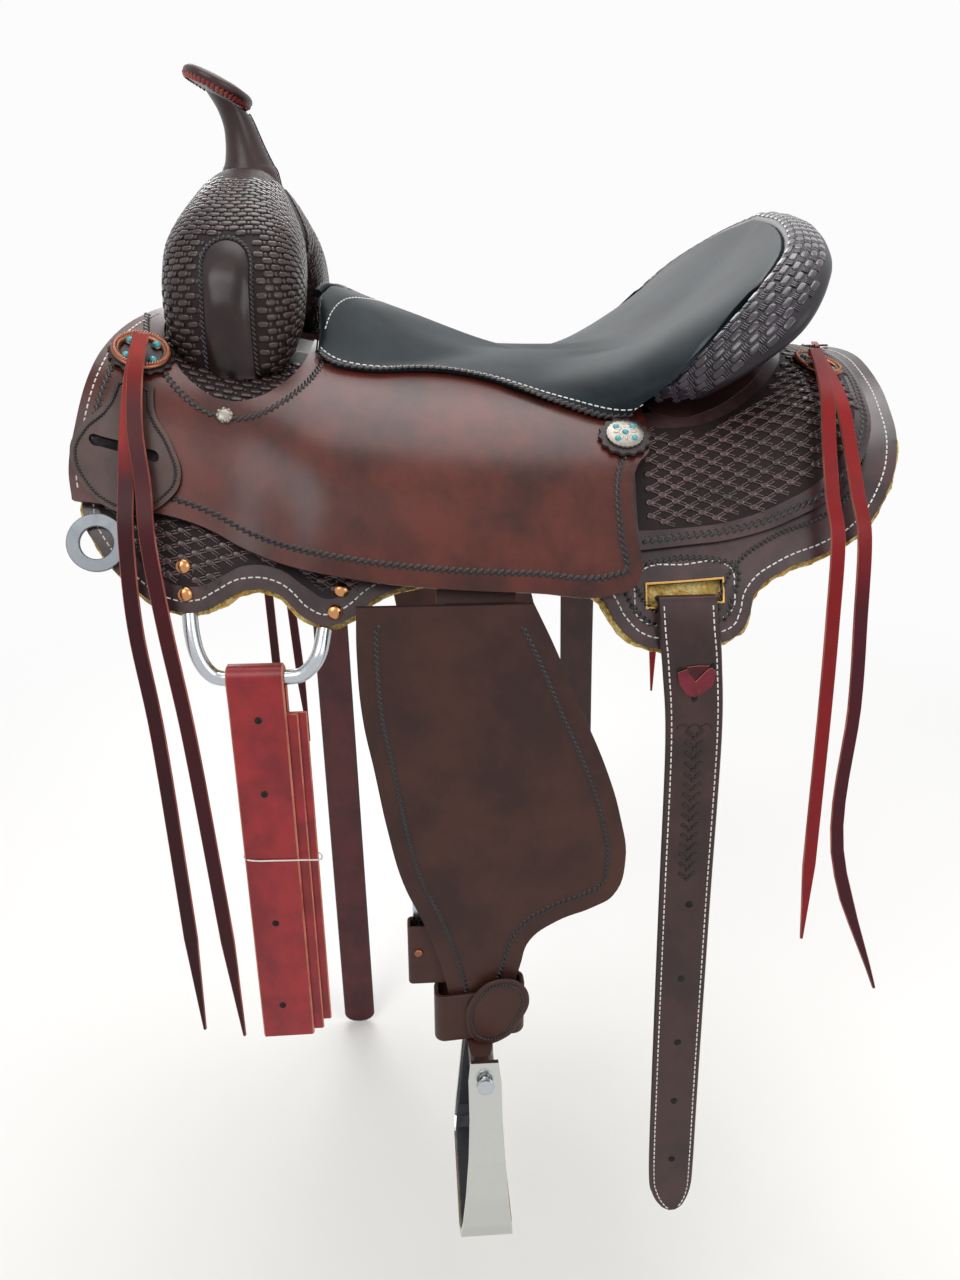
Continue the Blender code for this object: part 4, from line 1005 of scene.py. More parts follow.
CANTLE_OUTER = [
    (0.224, 0.000, 0.150), (0.212, 0.078, 0.136), (0.195, 0.146, 0.118), (0.181, 0.184, 0.104),
    (0.164, 0.210, 0.085), (0.146, 0.219, 0.066), (0.118, 0.212, 0.042), (0.090, 0.190, 0.0215),
]


def seat_floor(x, s):
    return SEAT_FLOOR + (SEAT_IN - SEAT_FLOOR) * ramp(s, 0.0, 0.045)


def seat_grid(rows, columns):
    """Points of the seat's top, dished from its middle line out to its edges."""
    centre = smooth_path([(x, 0, z) for x, z in SEAT_CENTRE], rows)
    edge = smooth_path([tuple(wrap(x, s, SEAT_IN)) for x, s in SEAT_EDGE], rows)
    front = smooth_path(SEAT_FRONT, columns)
    rim = smooth_path(CANTLE_RIM, columns)
    edge[0], edge[-1] = front[-1], rim[-1]
    half = []
    for i in range(rows):
        u = i / (rows - 1)
        line = []
        for j in range(columns):
            v = j / (columns - 1)
            share = Vector((v, v, v * v))
            run = centre[i] + (edge[i] - centre[i]) * share
            start = centre[0] + (edge[0] - centre[0]) * share
            end = centre[-1] + (edge[-1] - centre[-1]) * share
            point = run + (front[j] - start) * (1 - u) ** 2 + (rim[j] - end) * u**2
            point.z = max(point.z, layer_height(point.x, point.y, seat_floor) + 0.0032)
            line.append(point)
        half.append(line)
    return [mirrored(line[:0:-1], -1) + line for line in half]


def smoothed(grid, times):
    """The grid with its inner points relaxed towards their neighbours."""
    for _ in range(times):
        new = [list(row) for row in grid]
        for i in range(1, len(grid) - 1):
            for j in range(1, len(grid[0]) - 1):
                around = grid[i - 1][j] + grid[i + 1][j] + grid[i][j - 1] + grid[i][j + 1]
                new[i][j] = grid[i][j] * 0.5 + around * 0.125
        grid = new
    return grid


def grid_normals(grid):
    rows, columns = len(grid), len(grid[0])
    normals = []
    for i in range(rows):
        line = []
        for j in range(columns):
            along = grid[min(i + 1, rows - 1)][j] - grid[max(i - 1, 0)][j]
            across = grid[i][min(j + 1, columns - 1)] - grid[i][max(j - 1, 0)]
            line.append(along.cross(across).normalized())
        normals.append(line)
    return normals


def build_seat():
    """The padded seat, thick in the middle and thin at its edge, with the rolled edge at its front."""
    rows, columns = 49, 21
    top = smoothed(seat_grid(rows, columns), 3)
    normals = grid_normals(top)
    width = len(top[0])
    under = []
    for i in range(rows):
        line = []
        for j in range(width):
            inward = 1 - abs(j - columns + 1) / (columns - 1)
            thick = 0.003 + 0.009 * ramp(inward, 0, 0.5) * ramp(i, 0, 12) * ramp(rows - 1 - i, 0, 14)
            point = top[i][j] - normals[i][j] * thick
            point.z = max(point.z, layer_height(point.x, point.y, seat_floor))
            line.append(point)
        under.append(line)
    seat = make("padded seat", sheet_mesh(top, under), "seat", "seat", sharp=60, bevel=0.0010)
    for tag, column, inward in (("near", 0, 1), ("off", width - 1, -1)):
        up = [row[column] for row in normals]
        border = [row[column] + n * 0.0006 for row, n in zip(top, up)]
        rope_line(f"seat rope edge {tag}", [(border, up)], size=1.1)
        rows_in = zip(top[2:-1], up[2:])
        inner = [row[column].lerp(row[column + inward], 0.75) + n * 0.0004 for row, n in rows_in]
        stitch(f"seat stitching {tag}", [(inner, up[2:])])
    stitch("handhole stitching", [(top[2][3:-3], normals[2][3:-3])])
    binding = [p + Vector((-0.0061, 0, -0.001)) for p in smooth_path(SEAT_FRONT, 25)[:16]]
    tube("rolled handhole edge", mirrored(binding[:0:-1], -1) + binding, 0.0035, "seat", "handhole_binding")


def build_cantle():
    """The rolled edge: a rounded section along the dish, thinning to a lip at each end."""
    count = 56
    rim = smooth_path(CANTLE_RIM, count)
    outer = smooth_path(CANTLE_OUTER, count)
    rings, up = [], UP
    for i in range(count):
        across = outer[i] - rim[i]
        along = rim[min(i + 1, count - 1)] - rim[max(i - 1, 0)]
        square = across.cross(along).normalized()
        up = square if square.dot(up) > 0 else -square
        start = rim[i] + across * 0.06
        thick = math.sqrt(max(0.002, 1 - max(0.0, (i / (count - 1) - 0.84) / 0.16) ** 2))
        ring = []
        for angle in full_turn(28):
            sine = math.sin(angle)
            a = 0.5 - 0.5 * squared(math.cos(angle), 0.75)
            b = thick * 0.60 * squared(sine, 0.8) if sine > 0 else 0.42 * squared(sine, 0.6)
            ring.append(start + across * 0.95 * a + up * ROLL * b)
        rings.append(ring)
    make("cantle roll", loft_mesh(both_halves(rings)), "roll_ground", "cantle_roll", sharp=60)
    stamp_roll(rings)


# The roll's stamp: one long pad and the three bars that cross it
ROLL_WEAVE = [raised(0.0108, 0.0048, 0.0010)]
ROLL_WEAVE += [raised(0.0011, 0.0052, 0.0007, (0.0084 + k, 0)) for k in (-0.0017, 0, 0.0017)]
ROLL_PITCH = (0.0084, 0.0064)


def stamp_roll(rings):
    """Long pads and crossing bars in rows over the top of the roll, between its two smooth borders."""
    reach = distances([ring[7] for ring in rings])
    frames = []
    for j in range(20):
        for i in range(j % 2, 200, 2):
            u, v = 0.0040 + i * ROLL_PITCH[0], 0.0068 + j * ROLL_PITCH[1]
            if u > reach[-1] - 0.007:
                continue
            r = float(np.interp(u, reach, range(len(rings))))
            k = min(int(r), len(rings) - 2)
            ring = [a.lerp(b, r - k) for a, b in zip(rings[k], rings[k + 1])][:15]
            over = distances(ring)
            if v > over[-1] - 0.0110:
                continue
            a = float(np.interp(v, over, range(15)))
            m = min(int(a), 13)
            point = ring[m].lerp(ring[m + 1], a - m)
            across = (ring[m + 1] - ring[m]).normalized()
            along = (rings[k + 1][m] - rings[k][m]).normalized()
            out = across.cross(along).normalized()
            out = out if out.dot(point - sum(ring, Vector()) / 15) > 0 else -out
            along = (along - out * along.dot(out)).normalized()
            frames.append((point - out * 0.0001, along, out.cross(along), out))
    for tag, side in SIDES:
        sided = [mirrored(frame_of, side) for frame_of in frames]
        stamps(f"cantle roll stamping {tag}", sided, ROLL_WEAVE, "roll_pads")


# Sections of the swell from its middle to its foot: distance out, top, low side and half length along x
SWELL_STATIONS = (0.0, 0.030, 0.052, 0.066, 0.080, 0.100, 0.122, 0.142, 0.157, 0.167, 0.173)
SWELL_TOPS = (0.192, 0.1905, 0.187, 0.183, 0.178, 0.169, 0.156, 0.140, 0.122, 0.106, 0.086)
SWELL_LOWS = (0.126, 0.124, 0.113, 0.092, 0.066, 0.050, 0.040, 0.034, 0.030, 0.034, 0.060)
SWELL_HALVES = (0.041, 0.043, 0.046, 0.048, 0.050, 0.0510, 0.0515, 0.049, 0.043, 0.032, 0.012)
COLLAR_Z = 0.1785


def swell_ring(t):
    """A section of the swell at a share t of its table, as finely as needed."""
    spots = range(len(SWELL_STATIONS))
    table = (SWELL_STATIONS, SWELL_TOPS, SWELL_LOWS, SWELL_HALVES)
    y, top, low, half = (float(np.interp(t, spots, row)) for row in table)
    middle, rise = (top + low) / 2, (top - low) / 2
    ring = []
    for angle in full_turn(48):
        z = middle + rise * squared(math.sin(angle), 0.85)
        narrowing = 1 - 0.38 * ramp(z, 0.125, 0.200)
        ring.append(Vector((FORK_X + half * narrowing * squared(math.cos(angle), 0.66), y, z)))
    return ring


def build_swell():
    """The cover over the fork, a loft from side to side that settles on the bars."""
    rings = []
    for k in range(41):
        ring = swell_ring(10 * (1 - (1 - k / 40) ** 1.25))
        y = ring[0].y
        floor = layer_height(FORK_X, y, lambda x, s: APRON_IN) if y > 0.06 else 0
        drop = max(0.0, min(p.z for p in ring) - floor) * ramp(y, 0.100, 0.135)
        high = max(p.z for p in ring)
        ring = [Vector((p.x, p.y, p.z - drop * ((high - p.z) / (high - floor + drop)) ** 1.3)) for p in ring]
        rings.append([Vector((p.x, p.y, max(p.z, floor))) for p in ring])
    bm = loft_mesh(both_halves(rings))
    inner = [v for v in bm.verts if abs(v.co.y) < 0.165]
    bmesh.ops.smooth_vert(bm, verts=inner, factor=0.4, use_axis_x=True, use_axis_y=True, use_axis_z=True)
    for face in bm.faces:
        face.material_index = 1 if face.calc_center_median().z > COLLAR_Z else 0
    swell = make("swell cover", bm, ["ground", "collar"], "swell_cover", sharp=80)
    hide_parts("fork")
    for tag, side in SIDES:
        build_apron(tag, side)
    return swell


APRON_HALF = ((0.0600, 0.100, "corner"), (0.0560, 0.130), (0.0440, 0.160), (0.020, 0.184))


def build_apron(tag, side):
    """The cover's rounded foot, flat on the bar."""
    front = [(FORK_X - x, *rest) for x, *rest in APRON_HALF]
    rear = [(FORK_X + x, *rest) for x, *rest in APRON_HALF[::-1]]
    apron = outline(front + rear)
    place = on_back(APRON_IN, side)
    leather(f"swell apron {tag}", [apron], place, APRON, ["ground", "edge"])
    inner = inset(apron, 0.0035)
    spots = staggered((FORK_X - 0.056, 0.125), (FORK_X + 0.056, 0.186), SCALE_PITCH)
    frames = [stamp_frame(place, p.x, p.y, APRON + 0.0003) for p in spots if inside(p, inner)]
    stamps(f"swell apron stamping {tag}", frames, SWELL_SCALE, "swell_pads")


def surface_of(obj):
    bm = bmesh.new()
    bm.from_mesh(obj.data)
    tree = BVHTree.FromBMesh(bm)
    bm.free()
    return tree


def cast_run(tree, flat, side):
    """A run on the side of a piece, from points (x, z) seen square on."""
    points, normals = [], []
    for x, z in flat:
        hit, normal, _, _ = tree.ray_cast(Vector((x, side * 0.5, z)), Vector((0, -side, 0)))
        if hit:
            points.append(hit + normal * 0.0004)
            normals.append(normal)
    return points, normals


# The tongue down the swell: middle, low end, top and half its width
TONGUE = (-0.2485, 0.032, 0.130, 0.0155)
# A scale stamp: one pad and the small bar in front of it
SWELL_SCALE = [raised(0.0080, 0.0041, 0.0010), raised(0.0022, 0.0032, 0.0005, (0.0054, 0))]
SCALE_PITCH = (0.0124, 0.0098)
SPOKES = 48


def swell_chart(tree, side):
    """A place on the swell for each flat (u, v) in metres, measured over its surface from its outermost point."""
    centre = Vector((FORK_X, side * 0.090, 0.105))
    rows = []
    for turn in full_turn(SPOKES):
        row, reach = [], 0.0
        for k in range(44):
            tilt = math.radians(132) * k / 43
            flat = math.sin(tilt)
            direction = Vector((flat * math.cos(turn), side * math.cos(tilt), flat * math.sin(turn)))
            hit = tree.ray_cast(centre, direction)[0]
            if hit is None:
                break
            reach += (hit - row[-1][1]).length if row else 0.0
            row.append((reach, hit))
        rows.append(row)

    def along_row(row, reach):
        share = float(np.interp(reach, [r for r, _ in row], range(len(row))))
        k = min(int(share), len(row) - 2)
        return row[k][1].lerp(row[k + 1][1], share - k)

    def at(u, v):
        a = (math.atan2(v, u) % (2 * math.pi)) / (2 * math.pi) * SPOKES
        k = int(a) % SPOKES
        reach = math.hypot(u, v)
        return along_row(rows[k], reach).lerp(along_row(rows[(k + 1) % SPOKES], reach), a - int(a))

    return at


def build_swell_stamping(swell):
    """Scales over the whole cover but its tongue and collar, charted on the near half."""
    tree = surface_of(swell)
    middle, _, top, reach = TONGUE
    at = swell_chart(tree, -1)
    frames = []
    for spot_at in staggered((-0.16, -0.10), (0.16, 0.24), SCALE_PITCH):
        point = at(spot_at.x, spot_at.y)
        floor = layer_height(point.x, point.y, lambda x, s: APRON_IN + APRON)
        on_tongue = point.y < -0.12 and abs(point.x - middle) < reach + 0.0055 and point.z < top + 0.0055
        if point.y > -0.016 or point.z < floor + 0.002 or point.z > COLLAR_Z - 0.002 or on_tongue:
            continue
        hit, out, _, _ = tree.find_nearest(point)
        along = at(spot_at.x + 0.002, spot_at.y) - point
        if along.length < 0.0004 or along.length > 0.006:
            continue
        along = (along - out * along.dot(out)).normalized()
        frames.append((hit, along, out.cross(along), out))
    for tag, side in SIDES:
        sided = [mirrored(frame_of, -side) for frame_of in frames]
        stamps(f"swell stamping {tag}", sided, SWELL_SCALE, "swell_pads")


def build_tongue(swell):
    """The smooth raised tongue down each side of the swell, with a tooled rope line round it."""
    tree = surface_of(swell)
    middle, low, top, reach = TONGUE
    for tag, side in SIDES:
        outer, inner = [], []
        last = [None] * 13
        for i in range(25):
            share = 1 - i / 24
            outer_row, inner_row = [], []
            for j in range(13):
                across = 2 * j / 12 - 1
                peak = top - reach + reach * math.sqrt(max(0, 1 - across * across))
                seen = Vector((middle + reach * across, side * 0.5, low + (peak - low) * share))
                hit, out, _, _ = tree.ray_cast(seen, Vector((0, -side, 0)))
                if hit is None:
                    hit, out = last[j][0] - UP * 0.0012, last[j][1]
                last[j] = (hit, out)
                rise = 0.0020 * (1 - across**4) * min(1, (1 - share) * 6 + 0.15)
                outer_row.append(hit + out * (0.0006 + rise))
                inner_row.append(hit - out * 0.0004)
            outer.append(outer_row)
            inner.append(inner_row)
        make(f"swell tongue {tag}", sheet_mesh(outer, inner), "tongue", sharp=60)
        edge, arch_z = reach + 0.0022, top - reach
        legs = [(middle + edge, low + (arch_z - low) * i / 12) for i in range(12)]
        arch = arc(middle, arch_z, edge, edge, half_turn(20))
        other = [(middle - edge, arch_z - (arch_z - low) * i / 12) for i in range(1, 13)]
        rope_line(f"swell tongue line {tag}", [cast_run(tree, legs + arch + other, side)], size=0.75)


# Sections of the horn's neck: x, z, tilt and its two radii
HORN_NECK = (
    (-0.2500, 0.1780, 0.00, 0.0250, 0.0240), (-0.2500, 0.1900, 0.00, 0.0226, 0.0222),
    (-0.2503, 0.1950, 0.00, 0.0200, 0.0204), (-0.2508, 0.2000, 0.02, 0.0182, 0.0190),
    (-0.2525, 0.2100, 0.06, 0.0155, 0.0167), (-0.2550, 0.2220, 0.15, 0.0137, 0.0154),
    (-0.2590, 0.2330, 0.30, 0.0146, 0.0163), (-0.2640, 0.2415, 0.45, 0.0180, 0.0190),
)
# The horn cap: radius and height above its middle
HORN_CAP = (
    (0.012, -0.0052), (0.022, -0.0054), (0.0262, -0.0047), (0.0283, -0.0030), (0.0290, 0.0), (0.0284, 0.0022),
    (0.0266, 0.0042), (0.0210, 0.0059), (0.0140, 0.0067), (0.0060, 0.0070),
)
HORN_CAP_CENTRE = (-0.2705, 0.0, 0.2530)
HORN_CAP_TILT = math.radians(26)


def build_horn():
    """The horn's wrapped neck and its wide cap, laced below the rim."""
    places = smooth_path([(x, tilt, z) for x, z, tilt, rx, ry in HORN_NECK], 24)
    sizes = smooth_path([(rx, ry, 0) for x, z, tilt, rx, ry in HORN_NECK], 24)
    rings = []
    for at, size in zip(places, sizes):
        matrix = Matrix.Translation((at.x, 0, at.z)) @ Matrix.Rotation(at.y, 4, "Y")
        rings.append([matrix @ Vector((x, y, 0)) for x, y in arc(0, 0, size.x, size.y, full_turn(32))])
    make("horn neck leather", loft_mesh(rings), "smooth", "horn", sharp=60)
    seam = [ring[0] + Vector((0.0002, 0, 0)) for ring in rings]
    rope_line("horn seam", [(seam, [Vector((1, 0, 0.2)).normalized()] * 24)], size=0.45)
    tilt = Matrix.Rotation(HORN_CAP_TILT, 4, "Y")
    cap = Matrix.Translation(HORN_CAP_CENTRE) @ tilt
    turns = full_turn(48)
    caps = [[cap @ Vector((x, y, h)) for x, y in arc(0, 0, r, r * 1.04, turns)] for r, h in HORN_CAP]
    make("horn cap leather", loft_mesh(caps), "smooth", "horn_cap", sharp=60)
    turns += turns[:1]
    rim = [cap @ Vector((x, y, -0.0043)) for x, y in arc(0, 0, 0.0268, 0.0279, turns)]
    down = [tilt @ Vector((x, y, -0.66)) for x, y in arc(0, 0, 0.75, 0.75, turns)]
    lace = {"length": 0.0030, "gap": 0.0008, "width": 0.0052, "height": 0.0009, "skew": 0.35}
    rows_of("horn cap lacing", [(rim, down)], "string", **lace)


def build_fender(tag, side):
    """The flat leather under the rider's leg, tooled along both edges."""
    place = hanging(FENDER_FACE, side)
    edge = outline(FENDER_EDGE)
    leather(f"fender leather {tag}", [edge], place, FENDER, ["fender", "edge"], f"fender_{tag}", step=0.02)
    border = inset(edge, 0.0140)
    ends = (((-0.146, -0.118), (-0.088, -0.440)), ((-0.066, -0.440), (-0.045, -0.118)))
    runs = [run_on(place, part_of(border, start, end), FENDER) for start, end in ends]
    body = f"{tag}_fender"
    rope_line(f"fender rope line {tag}", runs, body, size=0.95)
    build_hobble(tag, side, body)


def ring_mesh(box, wall, span, corner, side, slant=0.0):
    """A band round straps, its hole running up and down, its top and bottom edges slanted along x."""
    x0, x1, y0, y1 = box
    profile = []
    for z, inset_by in ((span[0], 0), (span[1], 0), (span[1], wall), (span[0], wall)):
        radius = max(corner - inset_by, 0.0008)
        ring = []
        for cx, cy, turn in ((x1, y1, 0), (x0, y1, 1), (x0, y0, 2), (x1, y0, 3)):
            mx = cx + (inset_by + radius) * (1 if cx == x0 else -1)
            my = cy + (inset_by + radius) * (1 if cy == y0 else -1)
            for k in range(9):
                angle = math.pi / 2 * (turn + k / 8)
                x = mx + radius * math.cos(angle)
                tilt = slant * (x - (x0 + x1) / 2) / (x1 - x0)
                ring.append(Vector((x, side * (my + radius * math.sin(angle)), z + tilt)))
        profile.append(ring)
    return loft_mesh(profile, closed_rows=True)


def build_hobble(tag, side, body):
    """The strap that keeps the leathers together above the stirrup, and the buckle's sleeve."""
    band = ring_mesh((-0.1130, -0.0400, 0.2535, HOBBLE_FACE), 0.0035, (-0.4740, -0.4300), 0.009, side, slant=0.006)
    make(f"hobble strap band {tag}", band, "fender", f"hobble_strap_{tag}", sharp=50, bevel=0.0010)
    place = hanging(HOBBLE_FACE, side)
    patch = outline(HOBBLE_BUTTON)
    leather(f"hobble button {tag}", [patch], place, 0.0022, ["fender", "edge"], body=body, step=0.02)
    line = run_on(place, inset(patch, 0.005), 0.0022, closed=True)
    rope_line(f"hobble button line {tag}", [line], body, size=0.6)
    sleeve = ring_mesh((-0.1330, -0.0470, 0.2530, 0.2684), 0.0025, (-0.426, -0.372), 0.004, side)
    make(f"buckle sleeve leather {tag}", sleeve, "fender", f"buckle_sleeve_{tag}", sharp=50, bevel=0.0008)
    rivet = (Vector((-0.1245, side * 0.2686, -0.396)), Vector((0, side, 0)))
    domes(f"sleeve rivet {tag}", [rivet], 0.0036, 0.0020, "copper", f"{tag}_sleeve")


def hanging_loop(tucked_z, end_z, slant):
    """The middle of a strap that goes up behind the dee's bar, over it and down in front."""
    reach = DEE_BAR + LAYER_GAP + STRAP / 2
    below = DEE_Z - 0.020
    path = [(DEE_Y - reach, tucked_z), (DEE_Y - reach, below)]
    path += arc(DEE_Y, DEE_Z, reach, reach, half_turn(12)[::-1])
    path += [(CINCH_Y, below + (end_z - below) * k / 10) for k in range(11)]
    return [Vector((CINCH_X + slant * (z - DEE_Z), y, z)) for y, z in path]


def punched(name, spots, body, side, y, radius=0.0026):
    """Holes, as near-black discs of painted shade on the face of a strap."""
    domes(name, [(Vector((x, side * y, z)), Vector((0, side, 0))) for x, z in spots], radius, 0.0004, "hole", body)


def build_latigo():
    """The near side's long red strap, folded down behind itself and tied with thread."""
    path = mirrored(hanging_loop(-0.300, -0.463, -0.012), -1)
    strap("latigo strap", path, 0.040, STRAP, ["latigo", "raw_edge"], "latigo_near")
    holes = [(-0.2325, z) for z in (-0.1865, -0.245, -0.356, -0.433)]
    punched("latigo holes", holes, "near_latigo", -1, CINCH_FACE)
    for k, (x, y, low) in enumerate(((-0.2250, 0.2716, -0.461), (-0.2190, 0.2681, -0.455))):
        layer = [Vector((x - 0.012 * (z - DEE_Z), -y, z)) for z in (-0.185, -0.25, -0.32, -0.39, low)]
        strap(f"latigo folded layer {k}", layer, 0.039, 0.0030, ["latigo", "raw_edge"], body="near_latigo")
    tie = []
    for angle in full_turn(32):
        x = -0.2235 + 0.0285 * squared(math.cos(angle), 0.35)
        y = 0.2720 + 0.0062 * squared(math.sin(angle), 0.6)
        tie.append(Vector((x, -y, -0.303 + 0.004 * math.sin(angle * 0.5))))
    tube("thread tie", tie, 0.0006, "thread", body="near_latigo", closed=True, sides=6)


def build_off_billet():
    """The off side's long strap, pointed at its end."""
    path = hanging_loop(-0.230, -0.925, -0.018)
    widths = [0.044] * len(path) + [0.041, 0.034, 0.022, 0.008]
    tip = [Vector((path[-1].x, path[-1].y, z)) for z in (-0.929, -0.933, -0.9360, -0.9370)]
    strap("off billet strap", path + tip, widths, STRAP, ["burgundy", "edge"], "off_billet")
    punched("off billet holes", [(-0.2235, -0.66 - 0.05 * k) for k in range(5)], "off_billet", 1, CINCH_FACE)


# The rear billet where it hangs: x and z of its middle, and its width in mm
BILLET_FALL = (
    (0.0745, -0.1300, 44), (0.0790, -0.1600, 44), (0.0845, -0.2200, 43), (0.0880, -0.3600, 42), (0.0930, -0.5400, 41),
    (0.0965, -0.6450, 40), (0.0985, -0.6720, 35), (0.1000, -0.6880, 22), (0.1004, -0.6940, 8),
)
BILLET_HOLES = ((0.0915, -0.363), (0.0905, -0.435), (0.0920, -0.501), (0.0935, -0.565), (0.0960, -0.632))


def build_rear_billet(tag, side):
    """The strap through the skirt's slot, with its stitching, holes, tooling and rose knot."""
    mouth = [wrap(0.0735, 0.2841, 0.0142), wrap(0.0735, 0.2841, 0.0165), wrap(0.0738, 0.2868, 0.0210)]
    fall = [Vector((x, BILLET_FACE - STRAP / 2 - 0.0002, z)) for x, z, width in BILLET_FALL]
    widths = [44] * 3 + [width for x, z, width in BILLET_FALL]
    path = mirrored(smooth_path(mouth + fall, 89), side)
    wide = [v.x for v in smooth_path([(width / 1000, 0, 0) for width in widths], 89)]
    node = f"rear_billet_{tag}"
    strap(f"rear billet strap {tag}", path, wide, STRAP, ["smooth", "edge"], node)
    body = body_of_node(node)
    runs = []
    for flip in (-1, 1):
        line = [p + Vector((flip * (w / 2 - 0.0042), side * 0.0021, 0)) for p, w in zip(path, wide)][17:84]
        runs.append((line, [Vector((0, side, 0))] * len(line)))
    stitch(f"rear billet stitching {tag}", runs, body)
    punched(f"rear billet holes {tag}", BILLET_HOLES, body, side, BILLET_FACE, 0.0030)
    hung = [p for p in path[::-1] if p.z < -0.125]
    heights, middles = [p.z for p in hung], [p.x for p in hung]
    build_tooling(tag, side, lambda z: float(np.interp(z, heights, middles)), body)
    build_rose(tag, side, body)


# Petals of the rose knot, each with its lift over the billet and its corners in units of ROSE_UNIT
ROSE_PETALS = (
    ("heart", 0.0000, ((-7.6, 12.3), (1.5, 13.4), (10.7, 13.0), (5.0, 6.0), (-1.0, -1.0), (-4.5, 4.0))),
    ("left", 0.0008, (
        (-15.0, 8.1), (-7.4, 11.0), (-6.2, 6.6), (0.4, 0.0), (3.7, -10.3), (0.4, -13.4), (-6.9, -10.3), (-12.8, -1.5),
    )),
    ("right", 0.0016, (
        (15.9, 8.1), (12.0, 11.8), (9.6, 11.4), (-1.0, 0.0), (1.6, -5.0), (3.4, -11.0), (7.8, -8.8), (13.7, -2.9),
    )),
)
ROSE_SLITS = ((-13.4, 10.2), (13.2, 12.2), (0.6, -15.4))
ROSE_X, ROSE_Z, ROSE_UNIT = 0.0812, -0.1700, 0.00092


def build_rose(tag, side, body):
    """A crimson lace folded through three slits of the billet into a rosebud."""

    def at(x, z):
        return ROSE_X + ROSE_UNIT * x, ROSE_Z + ROSE_UNIT * z

    for petal, lift, points in ROSE_PETALS:
        edge = outline([(*at(x, z), "corner") for x, z in points], 1)
        # The heart petal, tucked in the fold, takes the darker copy of the lace: painted shade
        mats = ["rose_heart_shade" if petal == "heart" else "rose", "raw_edge"]
        place = hanging(BILLET_FACE + lift, side)
        leather(f"rose knot {petal} petal {tag}", [edge], place, ROSE_PETAL, mats, body=body, step=0.02, bevel=0.0003)
    # The slits are near-black discs of painted shade
    slits = [at(x, z) for x, z in ROSE_SLITS]
    punched(f"rose knot slits {tag}", slits, body, side, BILLET_FACE - 0.0001, 0.0024)


# A leaf stamp: two leaning blades over a seed
TOOLED_LEAF = [raised(0.0072, 0.0030, 0.0008, (flip * 0.0040, 0.0030), flip * 0.7) for flip in (1, -1)]
TOOLED_LEAF += [raised(0.0030, 0.0030, 0.0009, (0, -0.0012))]


def build_tooling(tag, side, middle_at, body):
    """Leaf tooling in the middle of the billet, below a scalloped line."""
    out = Vector((0, side, 0))
    leaves = []
    for k in range(15):
        z = -0.2150 - 0.0088 * k
        leaves.append((Vector((middle_at(z), side * (BILLET_FACE - 0.0001), z)), Vector((1, 0, 0)), UP, out))
    stamps(f"billet leaf tooling {tag}", leaves, TOOLED_LEAF, "tongue", body)
    scallops = []
    for k in (-1, 0, 1):
        line = arc(middle_at(-0.206) + k * 0.0090, -0.2085, 0.0040, 0.0034, half_turn(10))
        scallops.append(([Vector((x, side * BILLET_FACE, z)) for x, z in line], [out] * 11))
    bead = {"length": 0.0016, "gap": -0.0002, "width": 0.0011, "height": 0.0006}
    rows_of(f"billet scalloped line {tag}", scallops, "rope", body, **bead)


# Saddle strings: for the inner and the outer tail, the height over the leather, how far the fall stands off,
# the (x, s) on the leather and the (x, z) of the fall
STRINGS = (
    ("front", jockey_out, (
        (
            0.0104, 0.001, ((-0.309, 0.158), (-0.3095, 0.185), (-0.311, 0.215), (-0.312, 0.245), (-0.312, 0.275)),
            ((-0.312, -0.120), (-0.306, -0.200), (-0.302, -0.320), (-0.298, -0.463)),
        ),
        (
            0.0140, 0.002, ((-0.307, 0.158), (-0.3065, 0.185), (-0.305, 0.215), (-0.300, 0.245), (-0.297, 0.275)),
            ((-0.291, -0.120), (-0.283, -0.200), (-0.275, -0.320), (-0.266, -0.467)),
        ),
    )),
    ("rear", rear_jockey_out, (
        (
            0.0098, 0.001,
            ((0.202, 0.116), (0.200, 0.145), (0.199, 0.175), (0.199, 0.205), (0.200, 0.235), (0.201, 0.262)),
            ((0.204, -0.130), (0.209, -0.200), (0.212, -0.325), (0.262, -0.462)),
        ),
        (
            0.0134, 0.002,
            ((0.200, 0.116), (0.192, 0.145), (0.185, 0.175), (0.181, 0.205), (0.180, 0.235), (0.180, 0.262)),
            ((0.181, -0.130), (0.184, -0.200), (0.187, -0.300), (0.190, -0.404)),
        ),
    )),
)


def string_tail(layer, height, beside, surface, fall):
    path = [wrap(x, s, layer(x, s) + height) for x, s in surface]
    y = path[-1].y + 0.004 + beside
    return path + [Vector((x, y, z)) for x, z in fall]


def build_strings(tag, side):
    """Each string is one strap, doubled over at its concho, with two tails."""
    for end, layer, tails in STRINGS:
        inner, outer = (string_tail(layer, *values) for values in tails)
        apart = (outer[0] - inner[0]) / 2
        climb = Vector((0, -apart.z, apart.y)).normalized() * apart.length
        crown = (inner[0] + outer[0]) / 2 + climb
        path = smooth_path(inner[::-1] + [crown] + outer, 121)
        widths = [0.011 * min(1, 0.25 + 0.75 * min(i, 120 - i) / 4) for i in range(121)]
        mats = [f"{end}_string", "string_edge"]
        strap(f"{end} string {tag}", mirrored(path, side), widths, 0.0026, mats, f"{end}_strings_{tag}")


# CAD pieces shown as they are, with the rounding of their edges
PLAIN_PIECES = (
    ("stirrup", "aluminium", 0.0008), ("stirrup_bolt", "steel", 0.0008), ("buckle", "steel", 0.0008),
    ("tread", "rubber", 0.0012), ("stirrup_leather", "fender", 0.0008), ("leather_lap", "fender", 0.0008),
    ("leather_loop", "fender", 0.0008), ("bar", "smooth", 0.0),
)


